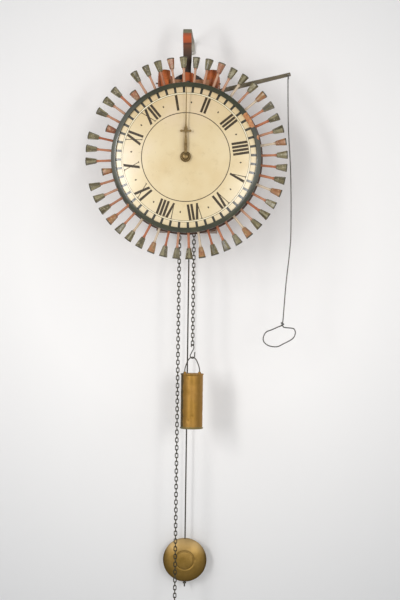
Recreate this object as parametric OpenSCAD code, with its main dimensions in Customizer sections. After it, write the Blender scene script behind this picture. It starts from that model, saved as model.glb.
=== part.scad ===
// Night watchman's wall clock: a revolving twelve hour dial on a drum with forty-eight
// radial record pegs, a fixed hand, a pull lever, a posted wooden movement, a chain drive
// with one weight and a long pendulum. Front faces -Y, +Z is up, the wall is y = 0.
// The origin is the middle of the nail hole in the hanger, at the wall.

/* [Dial drum] */
// Radius of the painted dial plate
dial_r = 147; // [140:1:155]
// How far the dial plate swells at its middle
dial_rise = 12; // [6:0.5:16]
// Thickness of the dial plate
dial_t = 1.6; // [1:0.1:2.5]
// Width of the front ring around the dial
ring_w = 8; // [6:0.5:12]
// Thickness of the front ring
ring_t = 6; // [5:0.5:9]
// Wall thickness of the drum
drum_wall = 5; // [4:0.5:8]
// Room between the two drum flanges
channel_w = 24; // [22:1:30]
// Width of the back flange outside the drum wall
flange_w = 10; // [8:0.5:14]
// Thickness of the back flange
flange_t = 5; // [3:0.5:7]
// Thickness of the drum board behind the dial
board_t = 6; // [4:0.5:7]
// Radius of the inner guide ring of the pegs
guide_r = 104; // [98:1:108]
// Wall thickness of the guide ring
guide_w = 4; // [3:0.5:6]

/* [Pegs] */
// Number of pegs, one for each quarter of an hour
peg_n = 48; // [48:12:48]
// Diameter of a peg shaft
peg_d = 6; // [5:0.25:7]
// How far a peg stands out past the edge of the dial
peg_out = 58; // [51:1:65]
// Length of a peg head
head_l = 22.5; // [18:0.5:26]
// Width across a head at its outer end
head_w = 15; // [12:0.5:16]
// Width across a head at its neck
neck_w = 8.6; // [7:0.2:10]
// How far a peg is pressed in
peg_travel = 32; // [26:1:33]
// Angle of the peg of the first hour, clockwise from the top
peg_start = -9.9; // [-10.5:0.1:-9.3]
// Diameter of the collar that stops a peg
collar_d = 9; // [8:0.5:10]
// Running clearance between a peg and its guides, on the radius
peg_fit = 0.05; // [0.03:0.01:0.1]

/* [Movement frame] */
// Distance from the wall to the back of the wooden plates
stand_off = 50; // [46:1:60]
// Depth of the wooden plates
plate_d = 100; // [96:1:110]
// Width of the wooden plates
plate_w = 124; // [120:1:136]
// Thickness of the wooden plates
plate_t = 14; // [10:1:18]
// Underside of the top plate above the dial centre
top_z = 153; // [150:1:157]
// Top side of the bottom plate below the dial centre
bottom_z = 135; // [130:1:145]
// Distance between pillar centres across the clock
pillar_gap = 101; // [96:1:104]
// Diameter of the turned pillars
pillar_d = 20; // [16:1:24]
// Diameter of the turned pillar caps above the top plate
cap_d = 24; // [20:1:26]
// Height of the pillar caps above the top plate
cap_h = 21; // [14:1:26]
// Width of the upright movement bars
bar_w = 24; // [20:1:30]
// Thickness of the upright movement bars
bar_t = 8; // [6:0.5:9]

/* [Train] */
// Teeth of the dial wheel
dial_teeth = 96; // [96:8:96]
// Module of the dial wheel and its pinion
dial_m = 1.0; // [0.95:0.01:1.05]
// Teeth of the great wheel
great_teeth = 60; // [60:4:60]
// Module of the great wheel
great_m = 2.0; // [1.9:0.05:2.0]
// Teeth of the second wheel
second_teeth = 64; // [64:4:64]
// Module of the second wheel
second_m = 1.6; // [1.5:0.05:1.65]
// Leaves of each pinion
leaves = 8; // [8:1:8]
// Teeth of the escape wheel
escape_teeth = 30; // [30:2:30]
// Outer radius of the escape wheel
escape_r = 28; // [26:0.5:28]
// Distance from the escape wheel's centre to the pallet arbor
pallet_a = 42; // [40:0.5:43]
// Thickness of the wheels
wheel_t = 3; // [2:0.25:4]
// Diameter of the arbors
arbor_d = 5; // [4:0.25:6]
// Diameter of the pivots
pivot_d = 3; // [2.5:0.25:3.5]
// Diameter of the fixed stud that carries the dial
stud_d = 12; // [10:0.5:14]

/* [Chain and weight] */
// Wire diameter of a chain link
wire_d = 1.9; // [1.6:0.1:2]
// Distance from one link's centre to the next
pitch = 8.2; // [8:0.1:8.6]
// Outside width of a link
link_w = 7.5; // [7:0.1:8]
// Links on the weight side, below the pulley
weight_links = 41; // [31:2:47]
// Links on the free side, below the pulley
free_links = 109; // [81:2:121]
// Diameter of the brass weight
weight_d = 47; // [40:1:50]
// Height of the brass weight
weight_h = 117; // [90:1:140]
// Height of the bail above the weight's lid
bail_h = 30; // [24:1:36]
// Height of the hook between chain and bail
hook_h = 30; // [26:1:34]

/* [Pendulum] */
// Height of the suspension above the dial centre
suspension_z = 171; // [171:1:173]
// Distance from the suspension to the middle of the bob
pendulum_l = 1030; // [950:5:1040]
// Diameter of the pendulum rod
rod_d = 3; // [2.5:0.25:3.5]
// Diameter of the bob
bob_d = 94; // [80:1:100]
// Thickness of the bob
bob_t = 22; // [16:1:24]
// Distance from the wall to the pendulum rod
pendulum_y = 26; // [24:1:28]

/* [Pull lever and hanger] */
// Slope of the pull lever at rest
lever_rise = 13.8; // [12:0.1:15]
// Horizontal distance from the dial centre to the lever's end hole
lever_reach = 209; // [208:1:216]
// Height of the lever's end hole above the dial centre
lever_z = 177.5; // [175:0.5:181]
// Horizontal distance from the dial centre to the lever's pivot
lever_pivot_x = 48; // [44:1:52]
// Width of the lever bar
lever_w = 7; // [5:0.5:9]
// Thickness of the lever bar
lever_t = 3; // [2.5:0.25:3.5]
// Diameter of the pull wire
pull_d = 2.5; // [2:0.1:3]
// Length of the pull wire down to its loop
pull_l = 510; // [420:5:560]
// Height of the hanger above the dial centre
hanger_z = 274; // [262:1:290]
// Width of the hanger strap
hanger_w = 14.5; // [12:0.5:18]
// Thickness of the hanger strap
hanger_t = 4; // [3:0.5:5]
// Diameter of the nail hole
nail_d = 6; // [4:0.5:8]

/* [Hidden] */
$fn = 48;

// Gap between parts that only just stay clear of each other
gap = 0.3;
// Radial clearance of a shaft in its hole
fit = 0.05;
// Distance from the hanger's top down to the nail hole
nail_drop = 24;
// Height of the dial centre in the part's frame
zc = nail_drop - hanger_z;

// Depths, all negative because the front faces -Y
back_y = -stand_off;
front_y = back_y - plate_d;
lever_y = front_y - 3 - gap;
flange_y = lever_y - lever_t - 3.7;
shell_y = flange_y - flange_t;
drum_front_y = shell_y - channel_w;
peg_y = (shell_y + drum_front_y) / 2;
rim_y = drum_front_y - dial_t;
apex_y = rim_y - dial_rise;
wheel_y = front_y - 7;
pulley_y = front_y + 30;

// Radii of the drum
shell_r = dial_r + 1;
shell_in = shell_r - drum_wall;
ring_r = dial_r + ring_w;
flange_r = shell_r + flange_w;
collar_r = shell_in - 6.7;
peg_tip_r = dial_r + peg_out;
collar_h = 3.5;
hub_r = stud_d / 2 + 4;

// Centres of the train, one above the other, from the dial centre
dial_a = dial_m * (dial_teeth + leaves) / 2;
great_z = -dial_a;
second_z = great_z + great_m * (great_teeth + leaves) / 2;
escape_z = second_z + second_m * (second_teeth + leaves) / 2;
pallet_z = escape_z + pallet_a;
plate_top = top_z + plate_t;

// Chain wheel: the chain lies on it as one side of a twelve sided ring for each link
ring_links = 12;
vertex_r = (pitch - gap) / (2 * sin(180 / ring_links));
seat_r = vertex_r * cos(180 / ring_links);
link_in = pitch + gap;

// Weight, measured down from the dial centre
hook_z = great_z - weight_links * pitch;
bail_top = hook_z - hook_h + 5;
lid_z = bail_top - bail_h - 4;
free_end = great_z - free_links * pitch;

// Pull lever
lever_angle = lever_rise;
lever_pivot_z = lever_z - (lever_reach + lever_pivot_x) * tan(lever_angle);
lever_l = (lever_reach + lever_pivot_x) / cos(lever_angle);

// Places things from the dial centre
module at_dial() { translate([0, 0, zc]) children(); }

// Extrudes an outline drawn in X and Z from depth y toward the front by t
module slab(y, t) { translate([0, y, 0]) rotate([90, 0, 0]) linear_extrude(t) children(); }

// A round bar along Y from depth y toward the front
module bar(x, z, y, l, d) { translate([x, y, z]) rotate([90, 0, 0]) cylinder(h = l, d = d); }

// A turned ring around the dial's axis, its profile drawn as radius and distance to the front
module turned(y) { translate([0, y, 0]) rotate([90, 0, 0]) rotate_extrude($fn = 180) children(); }

// Involute helpers, angles in degrees
function inv(a) = tan(a) * 180 / PI - a;
function half_tooth(rho, r, s, rb, pa) =
    s / (2 * r) * 180 / PI + inv(pa) - (rho > rb ? inv(acos(rb / rho)) : 0);

// Outline of a wheel or pinion with straight-sided facets on each involute flank
function gear_points(z, m, top, root, play, turn) =
    let (pa = 25, r = m * z / 2, rb = r * cos(pa), s = PI * m / 2 - play)
    let (rt = r + top * m, rr = r - root * m)
    let (ht = half_tooth(rt, r, s, rb, pa), hp = half_tooth(r, r, s, rb, pa))
    let (hr = half_tooth(rr, r, s, rb, pa))
    [for (i = [0:z - 1]) for (q = [[rr, -hr], [r, -hp], [rt, -ht], [rt, ht], [r, hp], [rr, hr]])
        let (a = turn + i * 360 / z + q[1]) q[0] * [cos(a), sin(a)]];

module gear(z, m, turn) { polygon(gear_points(z, m, 0.7, 1.0, 0.3, turn)); }

// A wheel with crossings: spokes between hub and rim
module crossed(z, m, turn, spokes, hub, rim) {
    r = m * z / 2 - m;
    difference() {
        gear(z, m, turn);
        difference() {
            circle(r = r - rim, $fn = 120);
            circle(r = hub);
            for (i = [0:spokes - 1])
                rotate(turn + i * 360 / spokes) translate([0, -2.2]) square([r, 4.4]);
        }
    }
}

// A round wire swept along points; side is any direction across the wire at its start
function tangent(p, i) = let (n = len(p) - 1)
    let (v = p[min(i + 1, n)] - p[max(i - 1, 0)]) v / norm(v);
function square_to(u, t) = let (v = u - (u * t) * t) v / norm(v);
function carried(p, i, u) = i == len(p) ? [] :
    let (v = square_to(u, tangent(p, i))) concat([v], carried(p, i + 1, v));
function ring_points(p, d, sides, side) = let (us = carried(p, 0, side)) [for (i = [0:len(p) - 1])
    let (u = us[i], w = cross(tangent(p, i), u))
    for (k = [0:sides - 1]) p[i] + d / 2 * (cos(360 * k / sides) * u + sin(360 * k / sides) * w)];
module wire(p, d, side = [0, 1, 0], sides = 8) {
    n = len(p);
    polyhedron(ring_points(p, d, sides, side), concat(
        [[for (k = [0:sides - 1]) k]],
        [for (i = [0:n - 2]) for (k = [0:sides - 1]) for (f = [0, 1])
            let (a = i * sides + k, b = i * sides + (k + 1) % sides)
            f == 0 ? [a, b + sides, b] : [a, a + sides, b + sides]],
        [[for (k = [sides - 1:-1:0]) (n - 1) * sides + k]]));
}
function arc(cx, cz, r, a, b, n, y = 0) =
    [for (i = [0:n]) [cx + r * cos(a + (b - a) * i / n), y, cz + r * sin(a + (b - a) * i / n)]];

// Movement frame
module plate(z, holes) {
    difference() {
        translate([-plate_w / 2, front_y, z]) cube([plate_w, plate_d, plate_t]);
        for (x = [-1, 1], y = [front_y + 12, back_y - 12])
            translate([x * pillar_gap / 2, y, z - 1]) cylinder(h = plate_t + 2, d = 14);
        // the chain falls through slots in the bottom plate
        for (s = holes)
            translate([s * seat_r - 7, pulley_y - 8, z - 1]) cube([14, 16, plate_t + 2]);
    }
}
module top_plate() { color("#5a3b22") at_dial() plate(top_z, []); }
module bottom_plate() { color("#5a3b22") at_dial() plate(-bottom_z - plate_t, [-1, 1]); }

module pillar() {
    h = top_z + bottom_z;
    r = pillar_d / 2;
    // turned shaft with a bead at each end and a slight swell
    rotate_extrude() polygon([[0, 0], [r + 1, 0], [r + 1, 5], [r - 2, 8], [r - 1, 14],
        [r, h / 2], [r - 1, h - 14], [r - 2, h - 8], [r + 1, h - 5], [r + 1, h], [0, h]]);
    translate([0, 0, -plate_t]) cylinder(h = h + 2 * plate_t, d = 14);
}
module pillars() {
    color("#b4532a") at_dial()
        for (x = [-1, 1], y = [front_y + 12, back_y - 12])
            translate([x * pillar_gap / 2, y, 0]) {
                translate([0, 0, -bottom_z]) pillar();
                translate([0, 0, plate_top]) rotate_extrude() polygon([[0, 0], [cap_d / 2 - 1, 0],
                    [cap_d / 2, 3], [cap_d / 2, cap_h - 3], [cap_d / 2 - 1.5, cap_h - 0.8],
                    [cap_d / 2 - 4, cap_h], [0, cap_h]]);
            }
}
module front_bar() {
    color("#6b4426") at_dial() difference() {
        translate([-bar_w / 2, front_y, -bottom_z]) cube([bar_w, bar_t, bottom_z + top_z]);
        bar(0, 0, front_y + bar_t + 1, bar_t + 2, stud_d);
        bar(0, great_z, front_y + bar_t + 1, bar_t + 2, arbor_d + 2 * fit);
        for (z = [second_z, escape_z, pallet_z])
            bar(0, z, front_y + bar_t + 1, bar_t + 2, pivot_d + 2 * fit);
    }
}
module rear_bar() {
    color("#6b4426") at_dial() difference() {
        translate([-bar_w / 2, back_y - bar_t, -bottom_z]) cube([bar_w, bar_t, bottom_z + top_z]);
        for (z = [great_z, second_z, escape_z])
            bar(0, z, back_y + 1, bar_t + 2, pivot_d + 2 * fit);
        bar(0, pallet_z, back_y + 1, bar_t + 2, arbor_d + 2 * fit);
    }
}
// Half-moon board behind the hanger, standing on the top plate
module arch_board() {
    chord = 61;
    rise = 13;
    r = (chord * chord / 4 + rise * rise) / (2 * rise);
    color("#1d1712") at_dial() translate([0, 0, plate_top]) slab(front_y + 12, 12)
        intersection() {
            translate([0, rise - r]) circle(r = r, $fn = 120);
            translate([-chord, 0]) square([2 * chord, rise + 1]);
        }
}

// Hanger: a strap that stands on the front of the top plate, bends back to the wall and
// ends in a short leg with the nail hole
module hanger_profile() {
    t = hanger_t;
    r = 15;
    y0 = front_y - t;
    translate([y0, top_z + 1]) square([t, hanger_z - r - top_z - 1]);
    translate([y0 + r, hanger_z - t]) square([-y0 - 2 * r, t]);
    translate([-t, hanger_z - nail_drop - 20]) square([t, nail_drop + 20 - r]);
    translate([y0 + r, hanger_z - r]) intersection() {
        difference() { circle(r = r); circle(r = r - t); }
        translate([-r, 0]) square(r);
    }
    translate([-r, hanger_z - r]) intersection() {
        difference() { circle(r = r); circle(r = r - t); }
        square(r);
    }
}
module hanger_strap() {
    color("#8a3319") at_dial() difference() {
        translate([hanger_w / 2, 0, 0]) rotate([90, 0, -90]) mirror([1, 0, 0])
            linear_extrude(hanger_w) hanger_profile();
        bar(0, hanger_z - nail_drop, 1, hanger_t + 2, nail_d);
        bar(0, top_z + plate_t / 2, front_y + 1, hanger_t + 2, 3.5);
    }
}
// Iron pins of the frame: the hanger's screw and two cross pins at the pillars
module frame_pins() {
    color("#2c2825") at_dial() {
        bar(0, top_z + plate_t / 2, front_y, hanger_t, 3.5);
        bar(0, top_z + plate_t / 2, front_y - hanger_t, 2, 8);
        for (s = [-1, 1])
            translate([s * plate_w / 2, front_y + 12, top_z + plate_t / 2])
                rotate([0, s * 90, 0]) cylinder(h = 6, d = 3);
    }
}
// Two iron spurs keep the movement off the wall
module wall_spurs() {
    color("#2c2825") at_dial() for (s = [-1, 1])
        translate([s * 42, back_y, -bottom_z - plate_t / 2]) rotate([-90, 0, 0]) {
            cylinder(h = 3, d = 12);
            cylinder(h = stand_off - 12, d = 6);
            translate([0, 0, stand_off - 12]) cylinder(h = 12, d1 = 6, d2 = 3);
        }
}
module dial_stud() {
    color("#4a4643") at_dial() {
        difference() {
            bar(0, 0, front_y + bar_t, front_y + bar_t - apex_y + 13, stud_d);
            translate([-stud_d, apex_y - 10.2, 0]) rotate([0, 90, 0])
                cylinder(h = 2 * stud_d, d = 2.4);
        }
        bar(0, 0, front_y + bar_t + 3, 3, stud_d + 8);
    }
}

// Fixed hand: a slender pointer with a small cross, on a ring boss
hand_y = apex_y - 4.5;
hand_t = 1.6;
module hand() {
    color("#57402a") at_dial() difference() {
        union() {
            slab(hand_y, hand_t) union() {
                polygon([[-3, 8], [-3.6, 22], [-2.6, 36], [-1.6, 44], [-1.4, 50], [1.4, 50],
                    [1.6, 44], [2.6, 36], [3.6, 22], [3, 8]]);
                polygon([[-1.4, 49], [-5, 51], [-9, 50.6], [-9, 54.4], [-5, 54], [-2.6, 58],
                    [-1.7, 64], [-1, dial_r - 2], [1, dial_r - 2], [1.7, 64], [2.6, 58], [5, 54],
                    [9, 54.4], [9, 50.6], [5, 51], [1.4, 49]]);
                for (s = [-1, 1]) translate([s * 9.6, 52.5]) circle(r = 2.4);
                circle(r = 11);
            }
            bar(0, 0, hand_y + 1.5, 5, 22);
        }
        bar(0, 0, hand_y + 3, 9, stud_d);
    }
}
module hand_pin() {
    color("#8c7a4a") at_dial()
        translate([-9, apex_y - 10.2, 0]) rotate([0, 90, 0]) cylinder(h = 18, d = 2.4 - 2 * fit);
}
module lever_bracket() {
    color("#3a3734") at_dial() {
        slab(front_y, 3) translate([-lever_pivot_x - 8, lever_pivot_z - 9])
            square([16, plate_top - lever_pivot_z + 9]);
        bar(-lever_pivot_x, lever_pivot_z, lever_y + gap, lever_t + 2 * gap, 5);
        bar(-lever_pivot_x, lever_pivot_z, lever_y - lever_t - gap, 1.6, 9);
    }
}
// Cock on the rear of the top plate, slit for the suspension spring
module suspension_cock() {
    color("#3a3734") at_dial() difference() {
        union() {
            translate([-10, back_y - 14, plate_top]) cube([20, 14, suspension_z + 8 - plate_top]);
            translate([-6, back_y - 1, suspension_z]) cube([12, stand_off - pendulum_y + 9, 8]);
        }
        translate([-0.2, -pendulum_y - 4.1, suspension_z - 1]) cube([0.4, 8.2, 10]);
    }
}

// Dial drum
function dome(f) = dial_rise * (1 - f * f);
module dial_face() {
    n = 22;
    r0 = hub_r + gap;
    color("#e6d9b4") at_dial() turned(drum_front_y) polygon(concat(
        [for (i = [0:n]) let (r = r0 + (dial_r - r0) * i / n) [r, dial_t + dome(r / dial_r)]],
        [for (i = [n:-1:0]) let (r = r0 + (dial_r - r0) * i / n) [r, dome(r / dial_r)]]));
}
module front_ring() {
    lip = dome((dial_r - 2) / dial_r) + dial_t + gap;
    color("#27382c") at_dial() turned(drum_front_y) polygon([[dial_r + gap, 0], [ring_r, 0],
        [ring_r, ring_t - 1.5], [ring_r - 1.5, ring_t], [dial_r + 1, ring_t],
        [dial_r - 2, lip + 0.8], [dial_r - 2, lip], [dial_r + gap, lip]]);
}
module peg_holes(r) {
    for (k = [0:peg_n - 1])
        translate([0, peg_y, 0]) rotate([0, peg_start + k * 360 / peg_n, 0])
            translate([0, 0, r - 12]) cylinder(h = 24, d = peg_d + 2 * peg_fit);
}
module drum_shell() {
    color("#3b2416") at_dial() difference() {
        turned(shell_y) translate([shell_in, 0]) square([drum_wall, channel_w]);
        peg_holes(shell_r - drum_wall / 2);
    }
}
module back_flange() {
    color("#3b2416") at_dial() turned(flange_y) polygon([[shell_in, 0], [flange_r - 1, 0],
        [flange_r, 1], [flange_r, flange_t], [shell_in, flange_t]]);
}
module drum_board() {
    color("#8a6a42") at_dial() turned(drum_front_y + board_t)
        translate([hub_r + fit, 0]) square([shell_in - hub_r - fit, board_t]);
}
module guide_ring() {
    d = drum_front_y + board_t;
    color("#8a6a42") at_dial() difference() {
        turned(peg_y + 6) translate([guide_r - guide_w, 0]) square([guide_w, peg_y + 6 - d]);
        peg_holes(guide_r - guide_w / 2);
    }
}
module drum_hub() {
    y0 = wheel_y - wheel_t - 6;
    yb = drum_front_y + board_t;
    color("#9a7a3c") at_dial() turned(y0) polygon([[stud_d / 2 + fit, 0], [hub_r, 0],
        [hub_r, y0 - yb - 3], [28, y0 - yb - 3], [28, y0 - yb], [hub_r, y0 - yb],
        [hub_r, y0 - apex_y + 2.4], [stud_d / 2 + fit, y0 - apex_y + 2.4]]);
}
module dial_wheel() {
    color("#a8873f") at_dial() difference() {
        union() {
            slab(wheel_y, wheel_t) crossed(dial_teeth, dial_m, -90 + 180 / dial_teeth, 4, 14, 5);
            bar(0, 0, front_y - gap, front_y - gap - wheel_y + wheel_t, 22);
        }
        bar(0, 0, front_y + 1, wheel_t + 10, stud_d + 2 * fit);
    }
}
// Dished washer: the drum slips on it when the dial is set
module friction_spring() {
    h = 6 - gap;
    color("#b59a55") at_dial() turned(wheel_y - wheel_t) polygon([[stud_d / 2 + 1, 0],
        [stud_d / 2 + 6, 0], [stud_d / 2 + 4, h], [stud_d / 2 + 0.6, h],
        [stud_d / 2 + 0.6, h - 0.8], [stud_d / 2 + 3, h - 1], [stud_d / 2 + 4, 0.9],
        [stud_d / 2 + 1, 0.9]]);
}

// Record pegs: a turned shaft with a stop collar and a flared, chamfered head
module head_outline(w) {
    c = w * 0.27;
    h = w / 2;
    polygon([[-h, -h + c], [-h + c, -h], [h - c, -h], [h, -h + c],
        [h, h - c], [h - c, h], [-h + c, h], [-h, h - c]]);
}
module peg(k, pressed) {
    neck = peg_tip_r - head_l;
    translate([0, peg_y, 0]) rotate([0, peg_start + k * 360 / peg_n, 0])
        translate([0, 0, pressed ? -peg_travel : 0]) {
            translate([0, 0, guide_r - guide_w - 2]) cylinder(h = neck - guide_r + guide_w + 2, d = peg_d);
            translate([0, 0, collar_r]) cylinder(h = collar_h, d = collar_d + 2.4);
            translate([0, 0, neck]) rotate(11 + (k * 37) % 90)
                linear_extrude(head_l, scale = head_w / neck_w) head_outline(neck_w);
        }
}
module hour_peg(h) { color("#b5622f") at_dial() peg((h - 1) * 4, h >= 10); }
module peg_now() { color("#4c5a3c") at_dial() peg(1, false); }
module quarter_pegs() {
    color("#4c5a3c") at_dial()
        for (k = [0:peg_n - 1]) if (k % 4 != 0 && k != 1) peg(k, false);
}

// Train: each wheel is riveted to its own arbor, with a leaf pinion cut from the solid
great_y = pulley_y + 12 + gap;
second_y = great_y + 16;
escape_y = second_y + 20;
module at(x, z) { translate([x, 0, z]) children(); }
module arbor(front, rear) {
    bar(0, 0, back_y - bar_t - gap, plate_d - 2 * bar_t - 2 * gap, arbor_d);
    bar(0, 0, front_y + bar_t + 1, front, pivot_d);
    bar(0, 0, back_y - 1, rear, pivot_d);
}
module great_wheel() {
    color("#a8873f") at_dial() at(0, great_z) {
        slab(great_y, wheel_t) crossed(great_teeth, great_m, 90, 4, 11, 6);
        bar(0, 0, back_y - bar_t - gap, plate_d - bar_t + 11, arbor_d);
        bar(0, 0, back_y - 1, bar_t, pivot_d);
        slab(wheel_y + 1, 6) gear(leaves, dial_m, 90);
    }
}
module second_wheel() {
    color("#a8873f") at_dial() at(0, second_z) {
        slab(second_y, wheel_t) crossed(second_teeth, second_m, 90, 4, 9, 5);
        slab(great_y + 1.5, 6) gear(leaves, great_m, -90 + 180 / leaves);
        arbor(bar_t, bar_t);
    }
}
// Escape wheel teeth lean back like a saw
module escape_outline() {
    step = 360 / escape_teeth;
    polygon([for (i = [0:escape_teeth - 1]) for (q = [[escape_r - 6, -0.42], [escape_r, -0.04],
        [escape_r, 0.04], [escape_r - 6, 0.22]])
            let (a = 90 + step / 2 + (i + q[1]) * step) q[0] * [cos(a), sin(a)]]);
}
module escape_wheel() {
    color("#a8873f") at_dial() at(0, escape_z) {
        slab(escape_y, 2) difference() {
            escape_outline();
            difference() {
                circle(r = escape_r - 9, $fn = 96);
                circle(r = 7);
                for (i = [0:3]) rotate(i * 90) translate([0, -1.5]) square([escape_r, 3]);
            }
        }
        slab(second_y + 1.5, 6) gear(leaves, second_m, -90 + 180 / leaves);
        arbor(bar_t, bar_t);
    }
}

// Chain wheel: flat links lie on its two lands over spikes, upright links run in the groove
module chain_pulley() {
    land = seat_r - wire_d / 2 - gap;
    deep = seat_r - link_w / 2 - gap;
    color("#8f7435") at_dial() translate([0, pulley_y, great_z]) difference() {
        union() {
            translate([0, 7, 0]) rotate([90, 0, 0]) rotate_extrude($fn = 96) polygon([[0, 0],
                [seat_r + 4, 0], [seat_r + 4, 2], [land, 2.8], [land, 5.5], [deep, 5.7],
                [deep, 8.3], [land, 8.5], [land, 11.2], [seat_r + 4, 12], [seat_r + 4, 14],
                [0, 14]]);
            for (i = [0:ring_links / 2 - 1])
                rotate([0, -15 - i * 60, 0]) translate([deep - 1, 0, 0]) rotate([0, 90, 0])
                    cylinder(h = seat_r - deep + 2.5, d1 = 2.6, d2 = 1.6);
        }
        rotate([90, 0, 0]) translate([0, 0, -20]) cylinder(h = 40, d = arbor_d + 2 * fit);
    }
}
// Springy ring whose tail catches a crossing of the great wheel
module click_spring() {
    color("#3a3734") at_dial() translate([0, pulley_y + 7 + 2, great_z]) {
        rotate([90, 0, 0]) difference() {
            cylinder(h = 2, r = seat_r + 3);
            translate([0, 0, -1]) cylinder(h = 4, r = seat_r);
            rotate(45) translate([seat_r - 2, -1.5, -1]) cube([8, 3, 4]);
        }
        rotate([0, 77, 0]) translate([seat_r + 1.5, 0, 0]) rotate([-90, 0, 0])
            cylinder(h = wheel_t, d = 2.4);
    }
}

// Chain links of round wire; turn = 0 shows the link's face to the front
module half_bend(s) {
    r = (link_w - wire_d) / 2;
    translate([0, 0, s * (link_in / 2 - r + wire_d / 2)]) rotate([90, 0, 0])
        rotate(s > 0 ? 0 : 180) rotate_extrude(angle = 180, $fn = 32)
            translate([r, 0]) circle(d = wire_d, $fn = 24);
}
module link(turn) {
    r = (link_w - wire_d) / 2;
    h = link_in - 2 * r + wire_d;
    rotate([0, 0, turn]) {
        half_bend(1);
        half_bend(-1);
        for (s = [-1, 1]) translate([s * r, 0, -h / 2]) cylinder(h = h, d = wire_d, $fn = 24);
    }
}
module run(x, n, first) {
    for (i = [0:n - 1])
        translate([x, pulley_y, great_z - (i + 0.5) * pitch]) link((i + first) % 2 == 0 ? 0 : 90);
}
module chain_over_pulley() {
    color("#4b4437") at_dial() translate([0, pulley_y, great_z])
        for (i = [0:ring_links / 2 - 1])
            rotate([0, -(i + 0.5) * 360 / ring_links, 0])
                translate([seat_r, 0, 0]) link(i % 2 == 0 ? 90 : 0);
}
module chain_weight_side() { color("#4b4437") at_dial() run(vertex_r, weight_links, 0); }
module chain_free_side() { color("#4b4437") at_dial() run(-vertex_r, free_links, 1); }
module chain_end_ring() {
    r = 9;
    color("#4b4437") at_dial()
        translate([-vertex_r, pulley_y, free_end - (link_in - pitch) / 2 + gap + wire_d / 2 - r])
            rotate([90, 0, 0]) rotate_extrude($fn = 48) translate([r, 0]) circle(d = wire_d, $fn = 24);
}

// Hook between the chain and the bail, bent from one wire and turned across the last link
hook_turn = 90;
module s_hook() {
    d = 2.2;
    a = 3.4;
    b = 5;
    top = hook_z - (link_in - pitch) / 2 + gap + d / 2 - a;
    low = bail_top - 3 + b;
    p = concat(arc(0, top, a, -40, 190, 9), [[-a, 0, top - 5], [a - 1, 0, low + 6]],
        arc(0, low, b, 10, -200, 10));
    color("#3c3a36") at_dial() translate([vertex_r, pulley_y, 0]) rotate([0, 0, hook_turn]) wire(p, d);
}
module weight_bail() {
    w = weight_d / 2 - 9;
    z = lid_z + 2.6;
    p = concat([[-w - 1, 0, z], [-w - 1, 0, z + 2], [-w, 0, z + 7]],
        arc(0, bail_top - 4.6, 4.2, 155, 25, 6), [[w, 0, z + 7], [w + 1, 0, z + 2], [w + 1, 0, z]]);
    color("#3c3a36") at_dial() translate([vertex_r, pulley_y, 0]) wire(p, 2.4);
}
weight_wall = 1;
module weight_shell() {
    r = weight_d / 2;
    w = weight_wall;
    color("#a17a2e") at_dial() translate([vertex_r, pulley_y, lid_z - weight_h]) rotate_extrude($fn = 96)
        polygon([[0, 1], [r - 3, 1], [r - 2.2, 0], [r - 0.6, 0], [r, 0.9], [r, 2.4], [r - 0.8, 3.2],
            [r - 0.8, weight_h - 3.6], [r, weight_h - 2.8], [r, weight_h - 1.2],
            [r - 0.6, weight_h - 0.4], [r - 0.8 - w, weight_h - 0.4], [r - 0.8 - w, w + 1], [0, w + 1]]);
}
module weight_lead() {
    r = weight_d / 2 - 0.8 - weight_wall;
    color("#6d7073") at_dial() translate([vertex_r, pulley_y, lid_z - weight_h + weight_wall + 1])
        cylinder(h = weight_h - weight_wall - 12, r = r);
}
module weight_lid() {
    r = weight_d / 2 - 0.8 - weight_wall;
    w = weight_d / 2 - 9;
    color("#8a6a2c") at_dial() translate([vertex_r, pulley_y, lid_z]) {
        translate([0, 0, -11 + gap]) cylinder(h = 9, r = r);
        for (s = [-1, 1]) translate([s * (w + 1), 0, -2]) cylinder(h = 4.6, d = 6);
    }
}

// Anchor pallets clear the wheel's tips at mid swing and dip between them at either end
module pallets() {
    reach = 33;
    color("#4a4643") at_dial() {
        slab_at(escape_y + 0.5, 3) union() {
            circle(r = 7);
            for (s = [-1, 1]) mirror([s < 0 ? 1 : 0, 0]) polygon([[0, 7], [10, 5],
                [reach * 0.72, -9], [anchor_x + 1.2, anchor_y + 9], [anchor_x + 1.4, anchor_y + 3],
                [anchor_x, anchor_y], [anchor_x - 1.2, anchor_y + 7], [reach * 0.55, -6], [5, -4],
                [0, -6]]);
        }
        at(0, pallet_z) {
            bar(0, 0, back_y + 14, plate_d - bar_t + 14 - gap, arbor_d);
            bar(0, 0, front_y + bar_t + 1, bar_t, pivot_d);
        }
    }
}
anchor_angle = 50;
anchor_x = (escape_r + 0.5) * sin(anchor_angle);
anchor_y = (escape_r + 0.5) * cos(anchor_angle) + escape_z - pallet_z;
module slab_at(y, t) { translate([0, 0, pallet_z]) slab(y, t) children(); }

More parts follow.
